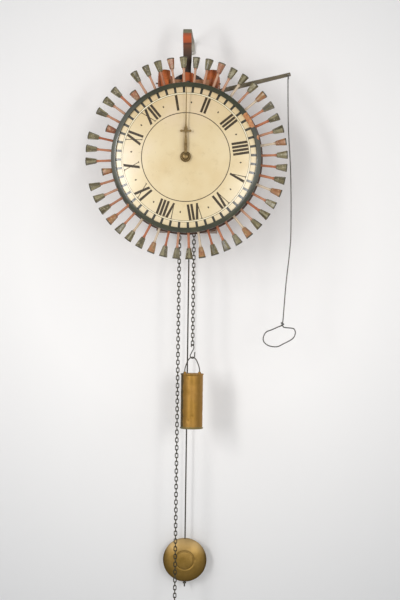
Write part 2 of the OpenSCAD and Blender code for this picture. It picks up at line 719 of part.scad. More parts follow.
// Crutch: hangs behind the rear bar and holds the rod between two prongs
crutch_z = -10;
module crutch() {
    y = back_y + 12;
    off = rod_d / 2 + 0.4 + 1;
    color("#3a3734") at_dial() {
        difference() {
            union() {
                slab(y, 3) union() {
                    translate([-2.5, crutch_z]) square([5, pallet_z - crutch_z]);
                    translate([0, pallet_z]) circle(r = 6);
                    translate([-off - 2.5, crutch_z - 3]) square([2 * off + 5, 6]);
                }
                for (s = [-1, 1])
                    bar(s * off, crutch_z, -pendulum_y + 6, -y - pendulum_y + 6 + 1, 2);
            }
            bar(0, pallet_z, y + 1, 5, arbor_d);
        }
    }
}
module suspension_spring() {
    color("#7d8a93") at_dial() translate([-0.125, -pendulum_y - 4, suspension_z - 17])
        cube([0.25, 8, 25]);
}
module pendulum_rod() {
    bob_z = suspension_z - pendulum_l;
    color("#3c3a36") at_dial() translate([0, -pendulum_y, 0]) {
        translate([-3, -5, suspension_z - 25]) difference() {
            cube([6, 10, 12]);
            translate([2.8, 0.9, 4]) cube([0.4, 8.2, 9]);
        }
        translate([0, 0, bob_z - bob_d / 2 - 11])
            cylinder(h = pendulum_l + bob_d / 2 + 11 - 24, d = rod_d);
    }
}
module pendulum_bob() {
    r = (bob_d * bob_d / 4 + bob_t * bob_t / 4) / bob_t;
    bob_z = suspension_z - pendulum_l;
    groove = 19.5;
    color("#a17a2e") at_dial() translate([0, -pendulum_y, bob_z]) difference() {
        rotate([90, 0, 0]) intersection() {
            translate([0, 0, bob_t / 2 - r]) sphere(r = r, $fn = 180);
            translate([0, 0, r - bob_t / 2]) sphere(r = r, $fn = 180);
            translate([0, 0, -bob_t]) cylinder(h = 2 * bob_t, r = bob_d / 2 - 1, $fn = 180);
        }
        translate([0, 0, -bob_d]) cylinder(h = 2 * bob_d, d = rod_d + 2 * fit);
        rotate([90, 0, 0]) rotate_extrude($fn = 96) translate([groove, bob_t / 2 - 2.6]) square([1, 3]);
    }
}
module rating_nut() {
    bob_z = suspension_z - pendulum_l;
    color("#8a6a2c") at_dial() translate([0, -pendulum_y, bob_z - bob_d / 2 + 1 - gap - 5]) difference() {
        cylinder(h = 5, d = 12);
        translate([0, 0, -1]) cylinder(h = 7, d = rod_d + 2 * fit);
        for (i = [0:11]) rotate(i * 30) translate([6.4, 0, -1]) cylinder(h = 7, d = 1.4);
    }
}

// Pull lever, its presser and the wire with its hand loop
module pull_lever() {
    color("#5f6055") at_dial() difference() {
        union() {
            at(-lever_pivot_x, lever_pivot_z) rotate([0, -lever_angle, 0]) {
                slab(lever_y, lever_t) translate([0, -lever_w / 2]) square([lever_l, lever_w]);
                bar(0, 0, lever_y, lever_t, lever_w + 6);
                bar(lever_l, 0, lever_y, lever_t, lever_w + 3);
            }
        }
        bar(-lever_pivot_x, lever_pivot_z, lever_y + 1, lever_t + 2, 5 + 2 * fit);
        bar(lever_reach, lever_z, lever_y + 1, lever_t + 2, pull_d + 2 * gap);
    }
}
// Leaf with a foot that lies just above the top peg's collar
module presser_spring() {
    x = -12;
    foot = collar_r + collar_h + gap;
    y = lever_y - lever_t;
    color("#7d8a93") at_dial() {
        translate([x, y - 0.8, lever_pivot_z + (lever_pivot_x + x) * tan(lever_angle) - 3])
            cube([10, 0.8, foot + 0.8 - lever_pivot_z - (lever_pivot_x + x) * tan(lever_angle) + 3]);
        translate([x, peg_y + peg_d / 2 + gap, foot]) cube([10, y - peg_y - peg_d / 2 - gap, 0.8]);
    }
}
module pull_wire() {
    y = lever_y - lever_t / 2;
    // the top passes through the lever's hole; below, the loop leaves the wire and comes back
    // beside it
    z = -pull_l;
    s = pull_l / 510;
    path = concat([[0, 4.2, -9], [0, 4.3, -5], [0, 3.9, -1.6], [0, 2.6, 0], [0, -2.6, 0],
            [0, -3.9, -1.6], [0, -4.3, -6], [-1, -3.6, -12]],
        [[-0.4, -3, -108 * s], [3, -2.5, -207 * s], [2, -2.5, -300 * s], [-2, -2.5, -400 * s]],
        [[-12, -2.5, z], [-24, -2.2, z - 8], [-41, -1.6, z - 18], [-50, -1, z - 30],
            [-45, -0.5, z - 44], [-33, 0, z - 52], [-19, 0.2, z - 51], [-4, 0.4, z - 40],
            [9, 0.6, z - 30], [15.5, 0.7, z - 19], [10, 0.9, z - 11], [-2, 1, z - 7],
            [-8.6, 1, z + 2], [-7.6, 1, z + 10]]);
    color("#4a4845") at_dial() translate([lever_reach, y, lever_z]) {
        wire(path, pull_d, [1, 0, 0]);
    }
}

top_plate();
bottom_plate();
pillars();
front_bar();
rear_bar();
arch_board();
hanger_strap();
frame_pins();
wall_spurs();
dial_stud();
hand();
hand_pin();
lever_bracket();
suspension_cock();
dial_face();
front_ring();
drum_shell();
back_flange();
drum_board();
guide_ring();
drum_hub();
dial_wheel();
friction_spring();
great_wheel();
second_wheel();
escape_wheel();
chain_pulley();
click_spring();
chain_over_pulley();
chain_weight_side();
chain_free_side();
chain_end_ring();
s_hook();
weight_bail();
weight_shell();
weight_lid();
weight_lead();
pallets();
crutch();
suspension_spring();
pendulum_rod();
pendulum_bob();
rating_nut();
pull_lever();
presser_spring();
pull_wire();
quarter_pegs();
peg_now();
hour_peg(1);  // hour_peg_1
hour_peg(2);  // hour_peg_2
hour_peg(3);  // hour_peg_3
hour_peg(4);  // hour_peg_4
hour_peg(5);  // hour_peg_5
hour_peg(6);  // hour_peg_6
hour_peg(7);  // hour_peg_7
hour_peg(8);  // hour_peg_8
hour_peg(9);  // hour_peg_9
hour_peg(10);  // hour_peg_10
hour_peg(11);  // hour_peg_11
hour_peg(12);  // hour_peg_12
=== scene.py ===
import math
import random

import bmesh
import bpy
from mathutils import Matrix, Vector


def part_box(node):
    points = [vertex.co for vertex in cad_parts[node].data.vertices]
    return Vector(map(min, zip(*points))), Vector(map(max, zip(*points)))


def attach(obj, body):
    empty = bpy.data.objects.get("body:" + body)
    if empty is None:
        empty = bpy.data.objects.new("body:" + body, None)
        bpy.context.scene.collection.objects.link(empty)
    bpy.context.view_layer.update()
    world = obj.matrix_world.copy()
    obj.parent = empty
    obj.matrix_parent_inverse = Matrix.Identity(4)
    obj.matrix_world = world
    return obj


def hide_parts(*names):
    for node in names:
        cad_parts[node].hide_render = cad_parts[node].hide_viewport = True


bl_info = {
    "name": "Watchman's clock",
    "version": (1, 0, 0),
    "blender": (4, 5, 0),
    "location": "View3D > Sidebar > Clock",
    "description": "Dresses the packed watchman's clock with painted, brass, iron and wooden surfaces",
    "category": "Object",
}

MM = 0.001
X, Y, Z = Vector((1, 0, 0)), Vector((0, 1, 0)), Vector((0, 0, 1))
PEGS = 48
PEG_STEP = 360 / PEGS
FIRST_PEG = -9.9  # degrees clockwise from the top: the first hour's peg and numeral
DIAL_THICK = 1.6 * MM
DIAL_SWELL = 12 * MM  # how far the middle of the dial stands before its edge
PILLAR_REACH = 12 * MM  # from the pillars' outermost side to their axes

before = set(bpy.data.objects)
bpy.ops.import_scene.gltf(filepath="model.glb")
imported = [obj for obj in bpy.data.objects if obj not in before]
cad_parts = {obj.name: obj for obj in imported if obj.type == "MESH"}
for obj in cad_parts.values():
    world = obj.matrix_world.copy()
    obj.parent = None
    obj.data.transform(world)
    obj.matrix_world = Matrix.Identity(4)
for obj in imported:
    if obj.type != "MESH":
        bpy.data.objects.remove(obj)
paint = {}
corners = {}


# Places
def box(node):
    """A CAD node's corners, measured once, because they are asked for at every point of the dial."""
    if node not in corners:
        corners[node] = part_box(node)
    return corners[node]


def middle(node):
    low, high = box(node)
    return (low + high) / 2


DIAL_Z = middle("front_ring").z
HUB = Vector((0, 0, DIAL_Z))


def bore(node):
    """The radius of the hole in the middle of one of the dial's rings."""
    return min(math.hypot(v.co.x, v.co.z - DIAL_Z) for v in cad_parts[node].data.vertices)


def pillar_axes():
    low, high = box("pillars")
    return (low.x + PILLAR_REACH, high.x - PILLAR_REACH), (low.y + PILLAR_REACH, high.y - PILLAR_REACH)


# Mesh makers
def put(bm, name, body, mats, node=None, smooth=True):
    """Turns a bmesh into a piece that rides on a body and, where given, stands for a CAD node."""
    mesh = bpy.data.meshes.new(name)
    bmesh.ops.recalc_face_normals(bm, faces=bm.faces)
    bm.to_mesh(mesh)
    bm.free()
    obj = bpy.data.objects.new(name, mesh)
    bpy.context.scene.collection.objects.link(obj)
    for m in mats if isinstance(mats, tuple) else (mats,):
        mesh.materials.append(m)
    for p in mesh.polygons:
        p.use_smooth = smooth
    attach(obj, body)
    if node:
        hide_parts(node)
    return obj


def soften(obj, width):
    """Rounds the hard edges a little, as on any worn thing, and keeps flat faces flat."""
    m = obj.modifiers.new("Bevel", "BEVEL")
    m.width = width
    m.segments = 2
    m.limit_method = "ANGLE"
    m.angle_limit = math.radians(32)
    m.harden_normals = True


def lathe(bm, profile, centre, axis="Z", steps=96, wobble=None):
    """Revolves (radius, height) points in mm about an axis; wobble moves a point, given in metres."""
    rings = []
    for r, h in profile:
        r, h = r * MM, h * MM
        ring = []
        for i in range(steps if r else 1):
            a = 2 * math.pi * i / steps
            rr, hh = wobble(r, h, a) if wobble and r else (r, h)
            p = Vector((rr * math.cos(a), rr * math.sin(a), hh))
            ring.append(bm.verts.new(centre + (p if axis == "Z" else Vector((p.x, -p.z, p.y)))))
        rings.append(ring if r else ring * steps)
    for a, b in zip(rings, rings[1:]):
        for i in range(steps):
            j = (i + 1) % steps
            quad = list(dict.fromkeys((a[i], a[j], b[j], b[i])))
            if len(quad) > 2:
                bm.faces.new(quad)


def smooth_path(points, per):
    """Points of a smooth curve through the given ones, so many for each stretch."""
    ext = [2 * points[0] - points[1]] + points + [2 * points[-1] - points[-2]]
    out = []
    for i in range(1, len(ext) - 2):
        p0, p1, p2, p3 = ext[i - 1:i + 3]
        for k in range(per):
            t = k / per
            out.append(0.5 * (2 * p1 + (p2 - p0) * t + (2 * p0 - 5 * p1 + 4 * p2 - p3) * t * t
                              + (3 * p1 - p0 - 3 * p2 + p3) * t ** 3))
    return out + [points[-1]]


def sweep(bm, path, side, outline, carry=True):
    """Carries an outline along a path; outline gives its (across, out) points at each place.
    Across is side, or with carry the way it lay at the place before, for a wire that turns past it."""
    last = len(path) - 1
    rings = []
    u = side
    for i, p in enumerate(path):
        t = (path[min(i + 1, last)] - path[max(i - 1, 0)]).normalized()
        u = u if carry else side
        u = (u - u.dot(t) * t).normalized()
        w = t.cross(u)
        rings.append([bm.verts.new(p + a * u + b * w) for a, b in outline(i)])
    for a, b in zip(rings, rings[1:]):
        for k in range(len(a)):
            j = (k + 1) % len(a)
            bm.faces.new((a[k], a[j], b[j], b[k]))
    bm.faces.new(rings[0])
    bm.faces.new(rings[-1])


def wire(bm, path, radius, side):
    """A round wire along a path."""
    turns = [math.radians(30 * k) for k in range(12)]
    sweep(bm, path, side, lambda i: [(radius * math.cos(a), radius * math.sin(a)) for a in turns])


def plate(bm, loops, thick):
    """A flat plate between an outer loop of points and the loops of its holes, thickened by a vector."""
    edges = []
    for loop in loops:
        verts = [bm.verts.new(p) for p in loop]
        edges += [bm.edges.new((a, b)) for a, b in zip(verts, verts[1:] + verts[:1])]
    made = bmesh.ops.triangle_fill(bm, use_beauty=True, use_dissolve=False, edges=edges)["geom"]
    faces = [g for g in made if isinstance(g, bmesh.types.BMFace)]
    more = bmesh.ops.extrude_face_region(bm, geom=faces, use_keep_orig=True)["geom"]
    bmesh.ops.translate(bm, verts=[g for g in more if isinstance(g, bmesh.types.BMVert)], vec=thick)


def round_loop(centre, radius, across, up, start=0.0, end=360.0, n=24):
    """Points of a circle, or of an arc with both its ends, in the plane of two directions."""
    count = n if end - start >= 360 else n + 1
    turns = [math.radians(start + (end - start) * i / n) for i in range(count)]
    return [centre + radius * (math.cos(a) * across + math.sin(a) * up) for a in turns]


# Material makers
def srgb(text):
    """A colour written as a hex string, as linear values with alpha."""
    out = []
    for i in (0, 2, 4):
        c = int(text.lstrip("#")[i:i + 2], 16) / 255
        out.append(c / 12.92 if c <= 0.04045 else ((c + 0.055) / 1.055) ** 2.4)
    return (*out, 1.0)


def add(tree, kind, inputs, stops=(), out=0, **settings):
    """Adds a node with its settings and colour stops, fills or links its inputs, and gives its output."""
    n = tree.nodes.new("ShaderNode" + kind)
    for key, value in settings.items():
        setattr(n, key, value)
    for key, value in inputs.items():
        if isinstance(value, bpy.types.NodeSocket):
            tree.links.new(value, n.inputs[key])
        else:
            n.inputs[key].default_value = srgb(value) if isinstance(value, str) else value
    if stops:
        e = n.color_ramp.elements
        while len(e) < len(stops):
            e.new(0.5)
        for item, (at, colour) in zip(e, stops):
            item.position = at
            item.color = srgb(colour) if isinstance(colour, str) else (colour, colour, colour, 1)
    return n.outputs[out]


def spread(at, size_mm, detail=4.0, rough=0.55):
    """The inputs of a noise whose blotches are about size_mm across."""
    return {"Vector": at, "Scale": 0.5 / (size_mm * MM), "Detail": detail, "Roughness": rough}


def new_material(name, roughness, metallic=0.0, coat=0.0, coat_rough=0.1):
    """A material with its even values set, its nodes, and object coordinates, which ride with the piece."""
    m = bpy.data.materials.new(name)
    m.use_nodes = True
    shader = m.node_tree.nodes["Principled BSDF"]
    for key, value in (("Roughness", roughness), ("Metallic", metallic), ("Coat Weight", coat),
                       ("Coat Roughness", coat_rough)):
        shader.inputs[key].default_value = value
    return m, m.node_tree, add(m.node_tree, "TexCoord", {}, out="Object")


def join(m, colour, rough=None, metallic=None, relief=None, depth_mm=0.0, strength=0.0):
    """Joins a material's patterns to its shader; relief gives it a skin so many mm deep."""
    t = m.node_tree
    if relief is not None:
        relief = add(t, "Bump", {"Height": relief, "Strength": strength, "Distance": depth_mm * MM})
    for key, source in (("Base Color", colour), ("Roughness", rough), ("Metallic", metallic),
                        ("Normal", relief)):
        if source is not None:
            t.links.new(source, t.nodes["Principled BSDF"].inputs[key])
    return m


def toned(t, colour, tint, measure, stops):
    """Lays a tint over a colour; the stops give its share at each value of a measure."""
    share = add(t, "ValToRGB", {"Fac": measure}, stops)
    return add(t, "Mix", {0: share, 6: colour, 7: tint}, out=2, data_type="RGBA")


def below(t, colour, tint, measure, limit, most=1.0):
    """Lays a tint over a colour where a measure is less than its limit."""
    less = add(t, "Math", {0: measure, 1: limit}, operation="LESS_THAN")
    return toned(t, colour, tint, less, [(0.0, 0.0), (1.0, most)])


def edge_wear_and_painted_light(t, colour, tint, most):
    """Lays a tint along the edges that stick out: paint and polish go there first. On the peg heads the tint
    is dark painted shade, and on the top plate it is partly a painted highlight.
    """
    out = add(t, "NewGeometry", {}, out="Pointiness")
    return toned(t, colour, tint, out, [(0.5, 0.0), (0.56, most)])


def height(t, at, bottom, top):
    """How far up a place is, from 0 at the bottom to 1 at the top."""
    z = add(t, "SeparateXYZ", {"Vector": at}, out="Z")
    return add(t, "MapRange", {"Value": z, "From Min": bottom, "From Max": top})


def ragged(t, measure, noise, reach):
    """A measure that a noise sways to and fro, so that what it bounds has a ragged edge."""
    swing = add(t, "Math", {0: noise, 1: 0.5}, operation="SUBTRACT")
    return add(t, "Math", {0: swing, 1: reach, 2: measure}, operation="MULTIPLY_ADD")


# Paints
def dial_enamel():
    """Old glossy cream enamel on a swelled board: the yellowing drifts, and it is pitted and scuffed. The
    fixed hand's shadow is painted on it.
    """
    m, t, at = new_material("dial_enamel", 0.4, coat=0.7, coat_rough=0.2)
    centre = middle("front_ring")
    drift = add(t, "TexNoise", spread(at, 60, 3.0, 0.6))
    colour = add(t, "ValToRGB", {"Fac": drift}, [(0.3, "#dfc796"), (0.5, "#e6d2a6"), (0.72, "#ead6b8")])
    grime = add(t, "TexNoise", spread(at, 9, 6.0, 0.7))
    colour = toned(t, colour, "#c4ab7c", grime, [(0.55, 0.0), (0.78, 0.5)])
    # painted shadow of the fixed hand: a soft brown shade painted along it
    shade = add(t, "Mapping", {"Vector": at, "Location": (-2 * MM, centre.y, centre.z + 36 * MM),
                                "Scale": (13 * MM, 1, 46 * MM)}, vector_type="TEXTURE")
    far = add(t, "VectorMath", {0: shade}, out="Value", operation="LENGTH")
    colour = toned(t, colour, "#a98a5c", far, [(0.25, 0.42), (1.0, 0.0)])
    # and the board is painted darker and yellower toward its top
    up = height(t, at, centre.z + 20 * MM, centre.z + 150 * MM)
    colour = toned(t, colour, "#c9a672", up, [(0.0, 0.0), (1.0, 0.45)])
    pits = add(t, "TexNoise", spread(at, 1.6, 3.0, 0.7))
    colour = toned(t, colour, "#8d7a55", pits, [(0.7, 0.0), (0.76, 0.75)])
    long = add(t, "Mapping", {"Vector": at, "Scale": (1, 1, 3)})
    scuffs = add(t, "TexNoise", spread(long, 5, 5.0, 0.75))
    colour = toned(t, colour, "#f3ead6", scuffs, [(0.64, 0.0), (0.74, 0.6)])
    wear = add(t, "TexNoise", spread(at, 14, 5.0, 0.6))
    rough = add(t, "ValToRGB", {"Fac": wear}, [(0.3, 0.28), (0.7, 0.45)])
    return join(m, colour, rough, None, add(t, "TexNoise", spread(at, 3, 5.0)), 0.05, 0.35)


def bead_highlight_paint():
    """The fresh cream of a fine line, painted as the highlight along the edge of a bead."""
    m, t, at = new_material("bead_highlight_paint", 0.4, coat=0.5, coat_rough=0.2)
    blotches = add(t, "TexNoise", spread(at, 8))
    return join(m, add(t, "ValToRGB", {"Fac": blotches}, [(0.35, "#ecdcb4"), (0.65, "#f6ecd0")]))


def numeral_paint():
    """Numeral paint: brown-black, thin where the brush ran dry."""
    m, t, at = new_material("numeral_paint", 0.5)
    brush = add(t, "TexNoise", spread(at, 4, 6.0, 0.7))
    colour = add(t, "ValToRGB", {"Fac": brush}, [(0.3, "#2a1e06"), (0.6, "#3d2d10"), (0.8, "#6c5428")])
    return join(m, colour, None, None, add(t, "TexNoise", spread(at, 1.2)), 0.03, 0.4)


def glossy_paint(name, dark, faded):
    """Glossy oil paint of the quarter track, faded in places; it also gives the tan painted shadow beside the
    pale line.
    """
    m, t, at = new_material(name, 0.45, coat=0.9, coat_rough=0.16)
    fading = add(t, "TexNoise", spread(at, 30, 4.0, 0.6))
    colour = add(t, "ValToRGB", {"Fac": fading}, [(0.35, dark), (0.62, dark), (0.8, faded)])
    return join(m, colour, None, None, add(t, "TexNoise", spread(at, 1.5)), 0.03, 0.4)


def ring_gloss():
    """Dark green gloss on the front ring, flaked to orange primer at the upper right."""
    m, t, at = new_material("ring_gloss", 0.42, coat=0.9, coat_rough=0.16)
    centre = middle("front_ring")
    depth = add(t, "TexNoise", spread(at, 25, 5.0, 0.6))
    colour = add(t, "ValToRGB", {"Fac": depth}, [(0.3, "#1c1e08"), (0.55, "#2e3014"), (0.75, "#464424")])
    chips = add(t, "TexNoise", spread(at, 4, 6.0, 0.75))
    colour = toned(t, colour, "#8b6a45", chips, [(0.66, 0.0), (0.7, 0.8)])
    primer = add(t, "ValToRGB", {"Fac": add(t, "TexNoise", spread(at, 2, 5.0))},
                  [(0.35, "#a8612c"), (0.65, "#cf9154")])
    crumble = add(t, "TexNoise", spread(at, 5, 5.0, 0.65))
    for x, z, r in ((127.5, 84, 12), (134, 72, 9), (151, 42, 6), (-120, -100, 3)):
        place = centre + Vector((x * MM, 0, z * MM))
        far = add(t, "VectorMath", {0: at, 1: place}, out="Value", operation="DISTANCE")
        colour = below(t, colour, primer, ragged(t, far, crumble, 12 * MM), r * MM)
    return join(m, colour, None, None, chips, 0.12, 0.5)


def waxed_wood(name, low, mid, high, roughness, grain=(1, 1, 12), size_mm=3.0, coat=0.1):
    """Stained, waxed wood: long grain, pores and edges rubbed paler. On the top plate the pale edges are also
    a painted highlight.
    """
    m, t, at = new_material(name, roughness, coat=coat, coat_rough=0.3)
    fibre = add(t, "TexNoise", spread(add(t, "Mapping", {"Vector": at, "Scale": grain}), size_mm, 6.0, 0.65))
    colour = add(t, "ValToRGB", {"Fac": fibre}, [(0.3, low), (0.5, mid), (0.72, high)])
    colour = edge_wear_and_painted_light(t, colour, high, 0.5)
    rough = add(t, "ValToRGB", {"Fac": fibre}, [(0.3, roughness - 0.1), (0.7, roughness + 0.15)])
    return join(m, colour, rough, None, fibre, 0.15, 0.5)


def rubbed_paint(name, colours, under, roughness, size_mm, wear, coat, apart=False, edge=None):
    """Oil paint on wood or iron, mottled by age and rubbed through in places and on edges.
    Where apart is set, each piece of a set has its own shade. An edge colour, where given, paints the edges
    instead: dark, as painted shade, on the peg heads."""
    m, t, at = new_material(name, roughness, coat=coat, coat_rough=0.25)
    share = add(t, "TexNoise", spread(at, size_mm, 5.0, 0.6))
    if apart:
        own = add(t, "NewGeometry", {}, out="Random Per Island")
        own = add(t, "Math", {0: own, 1: 0.4}, operation="MULTIPLY")
        share = add(t, "Math", {0: share, 1: 0.6, 2: own}, operation="MULTIPLY_ADD")
    stops = [(0.3 + 0.4 * i / (len(colours) - 1), c) for i, c in enumerate(colours)]
    colour = add(t, "ValToRGB", {"Fac": share}, stops)
    rub = add(t, "TexNoise", spread(at, size_mm * 0.45, 6.0, 0.75))
    colour = toned(t, colour, under, rub, [(wear, 0.0), (wear + 0.05, 0.85)])
    # edges rubbed to the under colour, or painted in the edge colour, which on the peg heads is painted shade
    colour = edge_wear_and_painted_light(t, colour, edge or under, 0.6)
    dirt = add(t, "TexNoise", spread(at, 2.0, 4.0, 0.7))
    colour = toned(t, colour, "#2a241b", dirt, [(0.6, 0.0), (0.8, 0.5)])
    rough = add(t, "ValToRGB", {"Fac": rub}, [(0.3, roughness - 0.08), (0.75, roughness + 0.2)])
    return join(m, colour, rough, None, rub, 0.12, 0.45)


def strap_paint():
    """Hanger strap: grey-green on its bend, partly bare iron and partly a painted highlight; red below it,
    then red-brown turning black, an orange foot.
    """
    m, t, at = new_material("strap_paint", 0.68)
    low, high = box("hanger_strap")
    up = ragged(t, height(t, at, low.z, high.z), add(t, "TexNoise", spread(at, 12)), 0.05)
    # the grey-green at the top stands for bare iron and for a painted highlight on the bend
    colour = add(t, "ValToRGB", {"Fac": up}, [
        (0.0, "#b0521e"), (0.215, "#b85a22"), (0.235, "#2a1c10"), (0.5, "#3a2616"), (0.62, "#54331c"),
        (0.7, "#6e3c20"), (0.73, "#4a2412"), (0.76, "#a34a1c"), (0.84, "#b8501e"), (0.9, "#94482a"),
        (0.925, "#77735c")])
    # the part behind the bend is bare grey iron
    colour = below(t, "#a3a093", colour, add(t, "SeparateXYZ", {"Vector": at}, out="Y"), -132 * MM)
    rub = add(t, "TexNoise", spread(at, 3, 6.0, 0.75))
    colour = toned(t, colour, "#8a6448", rub, [(0.64, 0.0), (0.72, 0.7)])
    return join(m, colour, None, None, rub, 0.15, 0.5)


# Metals
def weight_seam_and_shade(t, at, colour):
    """The weight's brass is grey along its soldered seam, a strip down its left side that is also painted
    shade, and green at its foot.
    """
    low, high = box("weight_shell")
    rag = add(t, "TexNoise", spread(at, 6, 5.0, 0.7))
    # the grey strip down the left side: the seam, and painted shade where the case turns away
    across = ragged(t, add(t, "SeparateXYZ", {"Vector": at}, out="X"), rag, 9 * MM)
    colour = below(t, colour, "#4e4836", across, low.x + 0.13 * (high.x - low.x), 0.85)
    up = ragged(t, add(t, "SeparateXYZ", {"Vector": at}, out="Z"), rag, 3.6 * MM)
    return below(t, colour, "#7f7c58", up, low.z + 4.5 * MM, 0.7)


def bob_painted_light(t, at, colour):
    """Painted light on the bob: its rim is painted brown as shade, it is painted duller below as shade and
    paler at the top as a painted sheen.
    """
    low, high = box("pendulum_bob")
    far = add(t, "VectorMath", {0: at, 1: (low + high) / 2}, out="Value", operation="DISTANCE")
    far = add(t, "Math", {0: far, 1: (high.x - low.x) / 2}, operation="DIVIDE")
    # painted shade: the rim darkened brown
    colour = toned(t, colour, "#4a3a1e", far, [(0.7, 0.0), (0.93, 0.5), (1.0, 0.9)])
    up = height(t, at, low.z, high.z)
    # painted shade below, and a painted sheen at the top
    colour = toned(t, colour, "#6a521f", up, [(0.25, 0.5), (0.7, 0.0)])
    return toned(t, colour, "#c4a878", up, [(0.62, 0.0), (0.9, 0.5)])


def old_brass(name, bright, dull, dark, roughness, size_mm=18.0, clean=0.58, brush=(1, 1, 1), patina_and_shade=None):
    """Old brass: warm metal under a brown film, with fine rubbing marks; a function, where given, lays on a
    piece's own stains and its painted light.
    """
    m, t, at = new_material(name, roughness, metallic=0.9)
    film = add(t, "TexNoise", spread(at, size_mm, 6.0, 0.62))
    colour = add(t, "ValToRGB", {"Fac": film}, [(0.3, dull), (0.52, bright), (0.75, dull)])
    stain = add(t, "TexNoise", spread(at, size_mm * 0.3, 6.0, 0.72))
    colour = toned(t, colour, dark, stain, [(clean, 0.0), (clean + 0.17, 0.75)])
    if patina_and_shade:
        colour = patina_and_shade(t, at, colour)
    rough = add(t, "ValToRGB", {"Fac": film}, [(0.3, roughness + 0.14), (0.6, roughness - 0.06)])
    metallic = add(t, "ValToRGB", {"Fac": stain}, [(0.55, 0.92), (0.78, 0.55)])
    fine = add(t, "TexNoise", spread(add(t, "Mapping", {"Vector": at, "Scale": brush}), 0.9, 3.0, 0.7))
    return join(m, colour, rough, metallic, fine, 0.03, 0.35)


def forged_iron(name, base, high, rust, roughness, size_mm, metallic=0.75):
    """Forged iron: near black scale, rubbed grey on the edges, a little brown rust."""
    m, t, at = new_material(name, roughness, metallic)
    scale = add(t, "TexNoise", spread(at, size_mm, 6.0, 0.65))
    colour = add(t, "ValToRGB", {"Fac": scale}, [(0.32, base), (0.55, base), (0.74, high)])
    rusty = add(t, "TexNoise", spread(at, size_mm * 1.7, 6.0, 0.7))
    colour = toned(t, colour, rust, rusty, [(0.56, 0.0), (0.7, 0.7)])
    colour = edge_wear_and_painted_light(t, colour, high, 0.5)
    rough = add(t, "ValToRGB", {"Fac": scale}, [(0.3, roughness + 0.1), (0.7, roughness - 0.1)])
    bare = add(t, "ValToRGB", {"Fac": rusty}, [(0.55, metallic), (0.7, metallic * 0.35)])
    return join(m, colour, rough, bare, scale, 0.12, 0.5)


def plain_metal(name, dark, light, roughness, metallic, size_mm, grain_mm, depth_mm, strength):
    """A metal with an even skin and faint stains."""
    m, t, at = new_material(name, roughness, metallic)
    stains = add(t, "TexNoise", spread(at, size_mm, 5.0))
    colour = add(t, "ValToRGB", {"Fac": stains}, [(0.3, dark), (0.7, light)])
    return join(m, colour, None, None, add(t, "TexNoise", spread(at, grain_mm)), depth_mm, strength)


